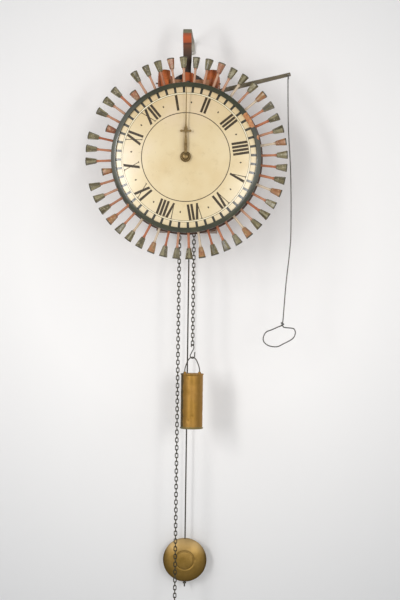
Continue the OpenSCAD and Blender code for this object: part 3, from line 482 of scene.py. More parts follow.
def make_materials():
    across, flat = (12, 12, 1), (1, 12, 12)
    paint.update(
        # yellowed cream enamel, pitted and scuffed, with a soft gloss and a painted shadow along the fixed
        # hand
        dial=dial_enamel(),
        # the fresher cream of the fine line
        line=bead_highlight_paint(),
        # the fresher cream of the fine line, a painted highlight along a bead's edge
        black=numeral_paint(),
        # bottle green bars between the quarter blocks
        track=glossy_paint("track_paint", "#26220f", "#57523a"),
        # the tan painted shadow on both sides of the pale line
        outline=glossy_paint("bead_shadow_paint", "#8b794f", "#b09d70"),
        # dark green gloss, flaked to orange primer in places
        ring=ring_gloss(),
        # bands of grey-green, red, brown and orange down the strap, the grey-green bend partly a painted
        # highlight
        strap=strap_paint(),
        # dark lacquer with a reddish grain, on the drum
        drum=waxed_wood("drum_lacquer", "#1c120c", "#3a2416", "#62422a", 0.42, coat=0.3),
        # brown walnut of the movement's plates
        plate=waxed_wood("plate_walnut", "#3a2214", "#5f3c22", "#8a6038", 0.5, flat, 2.5),
        # the same plate on top, with orange paint worn into it; its pale beige edges are partly wear and
        # partly a painted highlight along the front edge
        painted=waxed_wood("plate_painted", "#6a3216", "#96501f", "#b58a60", 0.5, flat, 2.5),
        # pale dry pine inside the drum
        board=waxed_wood("board_pine", "#7d5c34", "#a07b4a", "#c09c68", 0.6, flat, 3),
        # oak bars with an open grain
        bar=waxed_wood("bar_oak", "#4a2f1a", "#70492a", "#946a40", 0.55, across, 2),
        # black stained board, brown where it is rubbed
        arch=waxed_wood("arch_ebonised", "#0d0a08", "#1b1410", "#3a2a20", 0.4, across, 2),
        # vermilion oil paint, brown where it has gone
        pillar=rubbed_paint("pillar_vermilion", ["#a0480e", "#c46118", "#d87e2c"], "#6a3a1c",
                            0.5, 10, 0.68, 0.1),
        # grey-green heads, with pale patches that are partly rubbed by hands and partly a painted highlight,
        # and edges painted dark as painted shade
        green=rubbed_paint("head_green", ["#4a4128", "#756a45", "#9a916c"], "#bdb296",
                           0.4, 5, 0.55, 0.5, True, "#2e2814"),
        # ochre and red heads of the hours, rubbed the same way, with the same pale patches and dark painted
        # shade on their edges
        hour=rubbed_paint("head_ochre", ["#8a5634", "#b37c4e", "#a08a58"], "#d6b690",
                          0.4, 7, 0.55, 0.4, edge="#3a2616"),
        red=rubbed_paint("head_red", ["#8a4a2c", "#aa6844", "#a58a62"], "#d6b690",
                         0.4, 6, 0.55, 0.4, edge="#43281a"),
        # thin washes on the shafts, with bare wood showing
        salmon=rubbed_paint("shaft_salmon", ["#ad6c4c", "#c78c6a", "#d6a88a"], "#8e5f42",
                            0.5, 7, 0.66, 0.1, True),
        orange=rubbed_paint("shaft_orange", ["#a9552c", "#c06f44", "#cf8d66"], "#8e5436",
                            0.5, 7, 0.66, 0.1, True),
        pale=rubbed_paint("shaft_pale", ["#c9a888", "#d8c2a4", "#e0d0b8"], "#a88660",
                          0.5, 7, 0.7, 0.1, True),
        # the near black end of each head, painted shade
        rim=rubbed_paint("head_rim_shade", ["#2a2618", "#403a26"], "#6b6548", 0.42, 4, 0.7, 0.3),
        # olive grey on the lever, rubbed to brown iron
        lever=rubbed_paint("lever_grey", ["#4c4532", "#6a6048", "#867c60"], "#4a3826",
                           0.5, 9, 0.64, 0.1),
        # dark dull iron, grey on its edges
        iron=forged_iron("forged_iron", "#3d3a35", "#6b665c", "#5b3b25", 0.5, 6.0),
        # darker and greasier iron, with a yellowish shine
        chain=forged_iron("chain_iron", "#302c1f", "#6f6850", "#4a3a22", 0.46, 3.0),
        # drawn iron, smoother and paler
        wire=forged_iron("drawn_wire", "#4a4845", "#8a8782", "#5a4a3a", 0.4, 2.0, 0.85),
        # tempered spring steel, blue-grey
        steel=plain_metal("blued_steel", "#5f6d7a", "#8f98a0", 0.3, 1.0, 8, 0.8, 0.02, 0.3),
        # cast lead, soft grey and dull
        lead=plain_metal("cast_lead", "#62666a", "#83878a", 0.6, 0.6, 12, 2.5, 0.2, 0.5),
        # warm gold of the train's wheels
        brass=old_brass("train_brass", "#b99a55", "#94753a", "#5c4522", 0.36),
        # browned brass of the hand
        hand=old_brass("hand_brass", "#8f7850", "#665234", "#463521", 0.46, 6),
        # ochre sheet brass with a grey seam, painted shade down its left side, and a green foot
        weight=old_brass("weight_brass", "#a88042", "#97722f", "#5c4a24", 0.54, 34, 0.68, (1, 1, 3),
                         weight_seam_and_shade),
        # greenish gold, with a rim painted brown as shade, painted darker below and a painted sheen at the
        # top
        bob=old_brass("bob_brass", "#a58446", "#876a2e", "#5a441a", 0.5, 26, 0.64, patina_and_shade=bob_painted_light),
    )


def dress_nodes():
    """Gives each CAD node its own material; pieces made later hide some of them."""
    dressed = {
        "plate": ["top_plate", "bottom_plate"],
        "pillar": ["pillars", "lever_bracket"],
        "bar": ["front_bar", "rear_bar"],
        "arch": ["arch_board"],
        "iron": ["frame_pins", "wall_spurs", "dial_stud", "suspension_cock", "pallets", "crutch",
                 "pendulum_rod", "s_hook", "weight_bail", "hanger_strap", "rating_nut"],
        "hand": ["hand", "hand_pin"],
        "dial": ["dial_face"],
        "ring": ["front_ring"],
        "drum": ["drum_shell", "back_flange"],
        "board": ["drum_board", "guide_ring"],
        "brass": ["drum_hub", "dial_wheel", "friction_spring", "great_wheel", "second_wheel",
                  "escape_wheel", "chain_pulley"],
        "steel": ["click_spring", "suspension_spring", "presser_spring"],
        "chain": ["chain_over_pulley", "chain_weight_side", "chain_free_side", "chain_end_ring"],
        "weight": ["weight_shell", "weight_lid"],
        "lead": ["weight_lead"],
        "bob": ["pendulum_bob"],
        "lever": ["pull_lever"],
        "wire": ["pull_wire"],
        "green": ["quarter_pegs", "peg_now"],
        "hour": [f"hour_peg_{h}" for h in range(1, 13)],
    }
    for name, nodes in dressed.items():
        for piece in nodes:
            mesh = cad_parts[piece].data
            mesh.materials.clear()
            mesh.materials.append(paint[name])


# The dial
NUMERALS = ["I", "II", "III", "IIII", "V", "VI", "VII", "VIII", "IX", "X", "XI", "XII"]
LETTER_WIDTH = {"I": 7.3 * MM, "V": 15.5 * MM, "X": 16.5 * MM}


def face(r):
    """Depth of the dial's painted surface at a radius."""
    low, high = box("dial_face")
    edge = (high.x - low.x) / 2
    return high.y - DIAL_THICK - DIAL_SWELL * (1 - (r / edge) ** 2)


def on_dial(u, v, angle):
    """A point u to the right and v out from the centre, turned clockwise by an angle."""
    a = math.radians(angle)
    return u * math.cos(a) + v * math.sin(a), v * math.cos(a) - u * math.sin(a)


def brush(bm, rows, lift, closed=False):
    """Makes a line of paint on the dial from rows of two places, one on each side of it."""
    made = [[bm.verts.new((x, face(math.hypot(x, z)) - up, z + DIAL_Z)) for x, z in row
             for up in (lift, -0.05 * MM)] for row in rows]
    for p, q in zip(made, made[1:] + (made[:1] if closed else [])):
        for i, j in ((0, 2), (2, 3), (3, 1), (1, 0)):
            bm.faces.new((p[i], p[j], q[j], q[i]))
    if not closed:
        for r in (made[0], made[-1]):
            bm.faces.new((r[0], r[2], r[3], r[1]))


def stroke(bm, a, b, wide_a, wide_b, angle, level=False, n=6):
    """A painted stroke from a to b in a numeral's own plane, laid on the swell of the dial.
    Its ends can be level with the numeral's foot and head, as a brush would leave them."""
    a, b = Vector(a), Vector(b)
    along = (b - a).normalized()
    side = Vector((1 / max(abs(along.y), 0.2), 0)) if level else Vector((along.y, -along.x))
    rows = []
    for i in range(n + 1):
        f = i / n
        half = side * (wide_a + (wide_b - wide_a) * f) / 2
        c = a + (b - a) * f
        rows.append([on_dial(*(c + s * half), angle) for s in (-1, 1)])
    brush(bm, rows, 0.14 * MM)


def circle_line(bm, radius, width, lift=0.1 * MM):
    """A painted circle on the dial."""
    edges = (radius - width / 2, radius + width / 2)
    brush(bm, [[on_dial(0, r, 1.5 * i) for r in edges] for i in range(240)], lift, True)


def numeral(bm, text, angle, p):
    """Roman strokes side by side, feet toward the centre. The rising strokes are the thick ones here."""
    foot, head, thick, thin = p.numeral_foot, p.numeral_head, p.thick_stroke, p.thin_stroke
    x = -sum(LETTER_WIDTH[c] for c in text) / 2
    for c in text:
        w = LETTER_WIDTH[c]
        m = x + w / 2
        if c == "I":
            stroke(bm, (m, foot), (m, head), thick * 0.94, thick, angle)
        elif c == "V":
            serif = head - 0.5 * MM
            stroke(bm, (m - 0.4 * MM, foot), (m + w * 0.3, head), thick * 0.8, thick * 1.05, angle, True)
            stroke(bm, (m - 0.7 * MM, foot + 1 * MM), (m - w * 0.36, head), thin, thin * 1.2, angle, True)
            stroke(bm, (m - w * 0.2, serif), (m - w * 0.48, serif), thin, thin, angle, n=2)
        else:
            stroke(bm, (m - w * 0.3, foot), (m + w * 0.3, head), thick, thick, angle, True)
            stroke(bm, (m + w * 0.34, foot), (m - w * 0.34, head), thin, thin, angle, True)
            for s, z in ((1, foot + 0.5 * MM), (-1, head - 0.5 * MM)):
                stroke(bm, (m + s * w * 0.22, z), (m + s * w * 0.46, z), thin, thin, angle, n=2)
        x += w


def length(name, description, default):
    """A length in metres that the panel shows."""
    return bpy.props.FloatProperty(name=name, description=description, default=default, unit="LENGTH",
                                   subtype="DISTANCE")


class ClockDial(bpy.types.PropertyGroup):
    numeral_foot: length("Numeral foot", "Radius of the numerals' feet", 0.0968)
    numeral_head: length("Numeral head", "Radius of the numerals' heads", 0.1295)
    thick_stroke: length("Thick stroke", "Width of a thick stroke", 0.0052)
    thin_stroke: length("Thin stroke", "Width of a thin stroke", 0.0013)
    circle_radius: length("Inner circle", "Radius of the thin black circle", 0.0912)
    track_inner: length("Track inner radius", "Inner radius of the quarter track", 0.1335)
    track_bar: length("Track bar", "Width of a bar between two quarter blocks", 0.0049)


class ClockStage(bpy.types.PropertyGroup):
    wall_colour: bpy.props.FloatVectorProperty(
        name="Wall colour", description="Colour of the wall behind the clock",
        default=srgb("#fbf9f7")[:3], subtype="COLOR", size=3, min=0, max=1)
    lens: bpy.props.FloatProperty(
        name="Lens", description="Focal length on a 36 mm frame, along its long side",
        default=82.03, unit="CAMERA")
    key_power: bpy.props.FloatProperty(
        name="Key light", description="Power from which each lamp has its share", default=19.6, unit="POWER")


class CLOCK_OT_dial(bpy.types.Operator):
    """Paints the numerals, the half-hour marks and the quarter track on the dial"""
    bl_idname = "clock.dial"
    bl_label = "Dial marks"

    def execute(self, context):
        p = context.scene.clock_dial
        self.board()
        numerals, dots, track, line, bead_shadow_ring = (bmesh.new() for i in range(5))
        mid = (p.numeral_foot + p.numeral_head) / 2
        r, widest, tip = 2.5 * MM, 3.6 * MM, 0.2 * MM
        for i, text in enumerate(NUMERALS):
            a = FIRST_PEG + 30 * i
            numeral(numerals, text, a, p)
            stroke(dots, (0, mid - r), (0, mid), tip, widest, a + 15, n=2)
            stroke(dots, (0, mid), (0, mid + r), widest, tip, a + 15, n=2)
        circle_line(dots, p.circle_radius, 1.6 * MM)
        edge = box("dial_face")[1].x - 2 * MM
        for k in range(PEGS):
            a = FIRST_PEG + PEG_STEP * k
            stroke(track, (0, p.track_inner), (0, edge), p.track_bar, p.track_bar * 1.04, a, n=2)
        # a pale line painted as the highlight on a bead's edge, over a wider tan ring painted as its shadow
        middle_of_line = p.track_inner - 1.6 * MM
        circle_line(line, middle_of_line, 2.0 * MM, 0.12 * MM)
        circle_line(bead_shadow_ring, middle_of_line, 4.0 * MM)
        for bm, name, colour in (
            (numerals, "dial_numerals", "black"),
            (dots, "dial_dots_and_circle", "black"),
            (track, "dial_quarter_track", "track"),
            (line, "dial_bead_highlight", "line"),
            (bead_shadow_ring, "dial_bead_shadow", "outline"),
        ):
            put(bm, name, "drum", paint[colour], smooth=False)
        self.ring()
        return {"FINISHED"}

    def board(self):
        """The swelled board: a smooth dome as thick as the CAD one."""
        inner, outer = bore("dial_face"), box("dial_face")[1].x
        front = [(r, -face(r)) for r in (inner + (outer - inner) * i / 40 for i in range(41))]
        profile = front + [(r, h - DIAL_THICK) for r, h in reversed(front)] + front[:1]
        bm = bmesh.new()
        lathe(bm, [(r / MM, h / MM) for r, h in profile], HUB, "Y", 240)
        put(bm, "dial_board", "drum", paint["dial"], "dial_face")

    def ring(self):
        """The front ring falls away toward its rim as the dial does, so it takes the same gleam."""
        low, high = box("front_ring")
        inner = bore("front_ring") / MM
        outer = (high.x - low.x) / 2 / MM
        thick = (high.y - low.y) / MM
        rim = thick - (outer - inner) * math.tan(math.radians(10))
        bm = bmesh.new()
        lathe(bm, [(inner, 0), (inner, thick - 0.5), (inner + 0.5, thick), (outer - 1.1, rim),
                   (outer - 0.3, rim - 0.5), (outer, rim - 1.3), (outer, 0), (inner, 0)],
              Vector((0, high.y, DIAL_Z)), "Y", 240)
        soften(put(bm, "ring_front", "drum", paint["ring"], "front_ring"), 0.15 * MM)


# Pegs: heads and shafts as they differ round the dial
RED_HOURS = {1, 2, 11, 12}
PALE_SHAFTS = {6, 8, 12, 16, 20, 24, 28, 30}
ORANGE_SHAFTS = {9, 10, 13, 14, 15, 17, 18, 22, 23, 25, 27, 29, 31, 32, 37, 38, 39, 43}
PRESSED = {10, 11, 12}
PRESS_MM = 32.0  # how far in a pressed peg stands
PEG_NOW = 1  # the quarter peg at the top
NECK, TIP = 186.5, 209.8  # where a peg's head begins and ends, in mm from the middle of the drum


def peg(bm, k, out, seed):
    """One record peg: turned shaft with its stop collar and a flared, chamfered head.
    Materials: 0 head, 1 shaft, 2 the head's dark outer rim, which is painted shade. The flats are cut by
    hand, so no two are quite alike."""
    rnd = random.Random(seed)
    a = math.radians(FIRST_PEG + PEG_STEP * k)
    d = Vector((math.sin(a), 0, math.cos(a)))
    base = Vector((0, middle("drum_shell").y, DIAL_Z))
    across = Matrix.Rotation(math.radians(11 + (k * 37) % 90), 3, d) @ Y
    other = d.cross(across)

    def skin(outline, profile, mat, rim_mat, rim):
        """Carries an outline along the peg; the last rim stretches of it have a paint of their own, the dark
        painted shade of the rim.
        """
        rings = [[bm.verts.new(base + d * (h + out) * MM + (u * across + v * other) * r * MM)
                  for u, v in outline] for r, h in profile]
        for at, (p, q) in enumerate(zip(rings, rings[1:])):
            for i in range(len(p)):
                j = (i + 1) % len(p)
                f = bm.faces.new((p[i], p[j], q[j], q[i]))
                f.material_index = rim_mat if at >= len(rings) - 1 - rim else mat
        bm.faces.new(rings[0]).material_index = mat
        bm.faces.new(rings[-1]).material_index = rim_mat

    slim = 2.4 + rnd.random() * 0.3
    turned = [(math.cos(2 * math.pi * i / 14), math.sin(2 * math.pi * i / 14)) for i in range(14)]
    skin(turned, [(2.6, 98.1), (2.98, 98.9), (2.98, 136.3), (5.0, 136.31), (5.6, 136.8), (5.6, 139.2),
                  (5.0, 139.79), (2.98, 139.8), (2.98, 149.5), (slim + 0.2, 156), (slim, 168),
                  (slim - 0.1, NECK - 5), (slim + 0.5, NECK - 2.5), (slim + 0.7, NECK - 0.01)], 1, 1, 0)
    c = 0.52
    flats = [(-1, -c + 0.06), (-c, -1), (c, -1), (1, -c), (1, c), (c, 1), (-c, 1), (-1, c)]
    flats = [(u * (1 - rnd.random() * 0.05), v * (1 - rnd.random() * 0.05)) for u, v in flats]
    full = 7.9 - rnd.random() * 0.3
    long = TIP - 0.1 - rnd.random() * 0.5
    skin(flats, [(3.6, NECK + 0.02), (4.5, NECK + 0.5), (4.75, NECK + 1.6), (5.4, NECK + 6.0),
                 (6.5, NECK + 13.0), (full - 0.25, long - 2.6), (full, long - 2.0), (full, long - 0.9),
                 (full - 0.7, long - 0.1), (full * 0.5, long)], 0, 2, 4)


def peg_paints(k):
    hour = k // 4 + 1
    head = "green" if k % 4 else "red" if hour in RED_HOURS else "hour"
    shaft = "pale" if k in PALE_SHAFTS else "orange" if k in ORANGE_SHAFTS else "salmon"
    return paint[head], paint[shaft], paint["rim"]


class CLOCK_OT_pegs(bpy.types.Operator):
    """Makes the forty-eight record pegs with their painted heads and shafts"""
    bl_idname = "clock.pegs"
    bl_label = "Record pegs"

    def execute(self, context):
        for h in range(1, 13):
            k = 4 * h - 4
            self.make(f"record_peg_{h}", f"peg_{h}", "hour_peg_paint", f"hour_peg_{h}",
                      [(k, -PRESS_MM if h in PRESSED else 0.0, h)])
        self.make("record_peg_now", "top_peg", "quarter_peg_paint", "peg_now", [(PEG_NOW, 0.0, 77)])
        quarters = [k for k in range(PEGS) if k % 4 and k != PEG_NOW]
        for group in ("salmon", "orange", "pale"):
            self.make(f"quarter_pegs_{group}", "drum", "quarter_peg_paint", "quarter_pegs",
                      [(k, 0.0, 100 + k) for k in quarters if peg_paints(k)[1] == paint[group]])
        return {"FINISHED"}

    def make(self, name, body, slot, node, pegs):
        """Makes the pegs of one piece, each given as its place, how far out it stands and its seed."""
        bm = bmesh.new()
        for k, out, seed in pegs:
            peg(bm, k, out, seed)
        soften(put(bm, name, body, peg_paints(pegs[0][0]), node), 0.35 * MM)


# Hand
class CLOCK_OT_hand(bpy.types.Operator):
    """Makes the fixed hand with its cross, and the boss and the stud's end at the centre"""
    bl_idname = "clock.hand"
    bl_label = "Fixed hand"

    def execute(self, context):
        low, high = box("hand")
        half = [(2.6, 8), (3.3, 20), (2.9, 32), (2.0, 40), (1.5, 46), (1.5, 48.8), (2.4, 50.2), (5.0, 51.2),
                (7.4, 50.6), (8.6, 49.9), (10.6, 50.3), (11.6, 51.6), (11.6, 53.4), (10.6, 54.7), (8.6, 55.1),
                (7.4, 54.4), (5.0, 53.8), (3.0, 55.4), (3.9, 57.4), (3.1, 59.6), (1.8, 63), (1.25, 70),
                (0.95, 100), (0.85, 130), (0.25, 144.4)]
        outline = half + [(-x, z) for x, z in reversed(half)]
        back = HUB + Y * (high.y - 3.1 * MM)
        bm = bmesh.new()
        plate(bm, [[back + X * x * MM + Z * z * MM for x, z in outline]], -Y * 1.5 * MM)
        soften(put(bm, "hand_pointer", "frame", paint["hand"], "hand"), 0.4 * MM)
        bm = bmesh.new()
        lathe(bm, [(6.05, 0.1), (10.2, 0.1), (10.9, 0.8), (10.9, 2.0), (10.2, 3.0), (9.2, 3.3), (8.4, 4.6),
                   (7.2, 4.95), (6.4, 4.6), (6.05, 3.8), (6.05, 0.1)], HUB + Y * (low.y + 5.0 * MM), "Y", 64)
        put(bm, "hand_boss", "frame", paint["hand"], "hand")
        low, high = box("dial_stud")
        n = (high.y - low.y) / MM
        bm = bmesh.new()
        lathe(bm, [(0, 0), (9.6, 0), (10, 0.4), (10, 3), (6, 3), (6, n - 2), (5.7, n - 1), (4.9, n - 0.35),
                   (0, n)], HUB + Y * high.y, "Y", 48)
        put(bm, "stud", "frame", paint["hand"], "dial_stud")
        return {"FINISHED"}


# Frame
class CLOCK_OT_frame(bpy.types.Operator):
    """Makes the turned pillars, the top plate with its rounded edge and the hanger"""
    bl_idname = "clock.frame"
    bl_label = "Movement frame"

    def execute(self, context):
        top, bottom = box("top_plate"), box("bottom_plate")
        xs, ys = pillar_axes()
        h = (top[0].z - bottom[1].z) / MM
        foot = [(0, 0), (10.9, 0), (10.9, 4.4), (10.2, 5.4), (8.4, 6.6), (7.9, 8), (8.1, 10), (9.4, 12),
                (9.5, 14), (8.7, 15.5), (8.6, 17), (9.1, 22), (9.6, 60)]
        shaft = foot + [(9.9, h / 2)] + [(r, h - z) for r, z in reversed(foot)]
        # the turned cap reaches down over the plate's rounded corner
        c, edge = (box("pillars")[1].z - top[1].z) / MM, (top[0].z - top[1].z) / MM
        crown = [(0, edge + 0.02), (12.6, edge + 0.02), (13.5, edge + 0.8), (13.6, 0), (13.3, c * 0.4),
                 (12.9, c * 0.7), (12.6, c - 1.8), (11.9, c - 0.5), (10.6, c - 0.05), (0, c - 0.02)]
        bm = bmesh.new()
        for x in xs:
            for y in ys:
                lathe(bm, shaft, Vector((x, y, bottom[1].z)), steps=40)
                lathe(bm, crown, Vector((x, y, top[1].z)), steps=48)
        put(bm, "turned_pillars", "frame", paint["pillar"], "pillars")
        loop = []
        for i, (x, y) in enumerate(((xs[1], ys[1]), (xs[0], ys[1]), (xs[0], ys[0]), (xs[1], ys[0]))):
            loop += round_loop(Vector((x, y, top[0].z)), PILLAR_REACH, X, Y, 90 * i, 90 * i + 90, 8)
        bm = bmesh.new()
        plate(bm, [loop], Z * (top[1].z - top[0].z))
        soften(put(bm, "plate_top", "frame", paint["painted"], "top_plate"), 0.8 * MM)
        self.hanger()
        return {"FINISHED"}

    def hanger(self):
        """The forged strap, broad at its head and foot, with its short eyed leg at the wall."""
        low, high = box("hanger_strap")
        t = 4 * MM
        bow = 13 * MM  # radius of the bends, to the middle of the iron
        front, back, top, lean = low.y + t / 2, -t / 2, high.z - t / 2, -3 * MM
        run = back - front - 2 * bow
        # heights and widths in mm
        rise = [(0, 23.0), (25.5, 23.0), (26.3, 13.4), (40, 14.2), (52, 16.8), (62, 17.6), (80, 17.6),
                (100, 17.6)]
        path = [Vector((lean * h / 105, front, low.z + h * MM)) for h, w in rise]
        path += round_loop(Vector((lean, front + bow, top - bow)), bow, -Y, Z, 0, 90, 8)
        path += [Vector((lean * (1 - i / 6), front + bow + run * i / 6, top)) for i in range(1, 6)]
        path += round_loop(Vector((0, back - bow, top - bow)), bow, -Y, Z, 90, 180, 8)
        path += [Vector((0, back, top - bow - 3 * MM))]
        wide = [w for h, w in rise] + [17.4] * 9 + [16, 14.5, 13, 11.5, 10.8] + [10.4] * 10
        bm = bmesh.new()
        sides = ((-1, -1), (1, -1), (1, 1), (-1, 1))
        sweep(bm, path, X, lambda i: [(a * wide[i] * MM / 2, b * t / 2) for a, b in sides], carry=False)
        eye, hole = 5.2 * MM, Vector((0, -t, 0))
        leg = round_loop(hole, eye, X, Z, 180, 360, 16)
        leg += [Vector((x, -t, top - bow - 2 * MM)) for x in (eye, -eye)]
        plate(bm, [leg, round_loop(hole, 3 * MM, X, Z)], Y * t)
        put(bm, "hanger", "frame", paint["strap"], "hanger_strap", smooth=False)


# Lever and wire
class CLOCK_OT_lever(bpy.types.Operator):
    """Makes the forged pull lever and the smooth pull wire with its hand loop"""
    bl_idname = "clock.lever"
    bl_label = "Pull lever and wire"

    def execute(self, context):
        low, high = box("pull_lever")
        tip = Vector((high.x - 5 * MM, high.y, high.z - 5 * MM))
        pivot = Vector((low.x + 6.5 * MM, high.y, low.z + 6.5 * MM))
        along = (tip - pivot).normalized()
        up = Vector((-along.z, 0, along.x))
        # half widths in mm along the bar: it swells past the drum and tapers to a square end
        half = [(0.05, 3.5), (0.35, 3.5), (0.52, 4.5), (0.72, 4.4), (0.9, 3.9), (1.0, 3.7)]
        side = [(pivot + (tip - pivot) * u, up * w * MM) for u, w in half]
        side += [(tip + along * 4.2 * MM, up * 3.6 * MM)]
        loop = round_loop(pivot, 6.5 * MM, -along, up, -60, 60, 12)
        loop += [p + w for p, w in side] + [p - w for p, w in reversed(side)]
        bm = bmesh.new()
        plate(bm, [loop, round_loop(tip, 1.7 * MM, along, up, n=20)], Y * (low.y - high.y))
        bar = put(bm, "lever_bar", "lever", paint["lever"], "pull_lever", smooth=False)
        soften(bar, 0.7 * MM)
        # the wire in mm from the lever's eye, down to its loop
        pts = [(0, 4.2, -9), (0, 4.3, -5), (0, 3.9, -1.6), (0, 2.6, 0), (0, -2.6, 0), (0, -3.9, -1.6),
               (0, -4.3, -6), (-1, -3.6, -12), (1.1, -3, -108), (7.3, -2.5, -207), (9.3, -2.5, -322),
               (6.8, -2.5, -372), (0.5, -2.5, -435), (-5, -2.5, -513), (-8, -2.5, -521),
               (-14, -2.3, -524), (-27, -2, -530), (-39.5, -1.6, -535.5), (-45, -1, -547),
               (-43.3, -0.5, -556), (-33.3, 0, -563.5), (-17, 0.2, -565.5), (-4.5, 0.4, -560),
               (15.5, 0.6, -548.5), (21.3, 0.7, -537.5), (19.3, 0.8, -529), (14, 0.9, -526.5),
               (-2, 1, -525)]
        # the end is wound once and a half round the wire above the loop
        pts += [(-5.6 + 2.7 * math.cos(a), -2.5 + 2.7 * math.sin(a), -523 + 0.75 * a)
                for a in (math.radians(60 + 45 * i) for i in range(13))]
        eye = Vector((tip.x, low.y + 1.5 * MM, box("pull_wire")[1].z - 1.25 * MM))
        bm = bmesh.new()
        wire(bm, smooth_path([eye + Vector(p) * MM for p in pts], 6), 1.2 * MM, X)
        put(bm, "pull_wire_smooth", "wire", paint["wire"], "pull_wire")
        return {"FINISHED"}


# Weight
def dents(seed, count, low, high, depth, reach):
    """Soft dents in a brass case, as (angle, height, depth, reach)."""
    rnd = random.Random(seed)
    return [(rnd.random() * 2 * math.pi, low + rnd.random() * (high - low),
             depth * (0.4 + rnd.random() * 0.6), reach * (0.6 + rnd.random() * 0.8)) for i in range(count)]


def press(distance, depth, reach):
    """How deep a soft dent is at a distance from its middle."""
    f = distance / reach
    return depth * (1 - f * f) ** 2 if f < 1 else 0.0


def turn_to(a, b):
    """The angle from b to a, from minus to plus half a turn."""
    return (a - b + math.pi) % (2 * math.pi) - math.pi


def on_ring(radius, height, degrees):
    """A point of a circle of the hook, whose middle is at a height."""
    a = math.radians(degrees)
    return radius * math.cos(a), height + radius * math.sin(a)


class CLOCK_OT_weight(bpy.types.Operator):
    """Makes the brass weight with its rolled rims, seam and dents, and its bail and hook"""
    bl_idname = "clock.weight"
    bl_label = "Weight"

    def execute(self, context):
        low, high = box("weight_shell")
        c = Vector(((low.x + high.x) / 2, (low.y + high.y) / 2, low.z))
        r = (high.x - low.x) / 2 / MM + 1.0
        h = (high.z - low.z) / MM
        marks = dents(5, 26, 0.012, (h - 12) * MM, 0.55 * MM, 7 * MM)
        seam, lap = math.radians(-158), 0.34

        def wobble(rr, hh, a):
            if 6 * MM < hh < (h - 6) * MM and rr > (r - 2) * MM:
                for at, z, depth, reach in marks:
                    rr -= press(math.hypot(turn_to(a, at) * rr, hh - z), depth, reach)
                ds = turn_to(a, seam)
                if 0 < ds < lap:
                    rr += 0.7 * MM * min(1.0, ds / 0.05, (lap - ds) / 0.1)
            return rr, hh

        w = r - 1.3
        profile = [(0, 1.0), (w - 4, 0.9), (w - 2.4, 0.3), (r - 1.2, 0.05), (r - 0.5, 0.4), (r - 0.02, 1.2),
                   (r - 0.1, 2.0), (r - 0.6, 2.9), (w, 3.6), (w - 0.12, 4.6), (w, 6.2)]
        profile += [(w, 6.2 + (h - 12.6) * i / 40) for i in range(1, 41)]
        profile += [(w - 0.12, h - 4.8), (w, h - 3.8), (r - 0.5, h - 3.0), (r - 0.03, h - 2.2),
                    (r - 0.1, h - 1.2), (r - 0.7, h - 0.5), (r - 1.6, h - 0.42), (r - 1.8, h - 1.2),
                    (r - 1.8, h - 6), (r - 1.8, 3), (0, 3)]
        bm = bmesh.new()
        lathe(bm, profile, c, steps=180, wobble=wobble)
        put(bm, "weight_case", "weight", paint["weight"], "weight_shell")
        axis = Vector((c.x, c.y, 0))
        low, high = box("weight_bail")
        wide = (high.x - low.x) / 2 / MM - 1.2
        top, foot = high.z / MM - 1.2, low.z / MM
        half = [(wide, foot), (wide - 0.1, foot + 5), (wide - 1.6, foot + 12), (9.8, top - 8.5),
                (6.8, top - 3.8), (3.6, top - 1.2), (1.2, top - 0.15)]
        pts = [(-x, z) for x, z in half] + [(0, top)] + half[::-1]
        bm = bmesh.new()
        wire(bm, smooth_path([axis + X * x * MM + Z * z * MM for x, z in pts], 4), 1.15 * MM, Y)
        put(bm, "bail_wire", "weight", paint["iron"], "weight_bail")
        low, high = box("s_hook")
        rt, rb = 3.4, 5.6
        zt, zb = high.z / MM - 1.1 - rt, low.z / MM + 1.1 + rb
        pts = [on_ring(rt, zt, a) for a in range(-40, 191, 23)]
        pts += [(-rt - 0.1, zt - 3), (-rt + 0.8, zt - 6), (rt - 1.6, zb + 7.2), (rt - 0.4, zb + 4.5)]
        pts += [on_ring(rb, zb, a) for a in range(10, -185, -21)]
        pts += [(-rb - 0.2, zb + 4), (-rb - 0.7, zb + 8)]
        turn = math.radians(-58)  # the hook hangs askew, so its curls show
        askew = X * math.sin(turn) + Y * math.cos(turn)
        bm = bmesh.new()
        wire(bm, smooth_path([axis + askew * x * MM + Z * z * MM for x, z in pts], 4), 1.05 * MM, X)
        put(bm, "hook_wire", "weight_chain", paint["iron"], "s_hook")
        return {"FINISHED"}


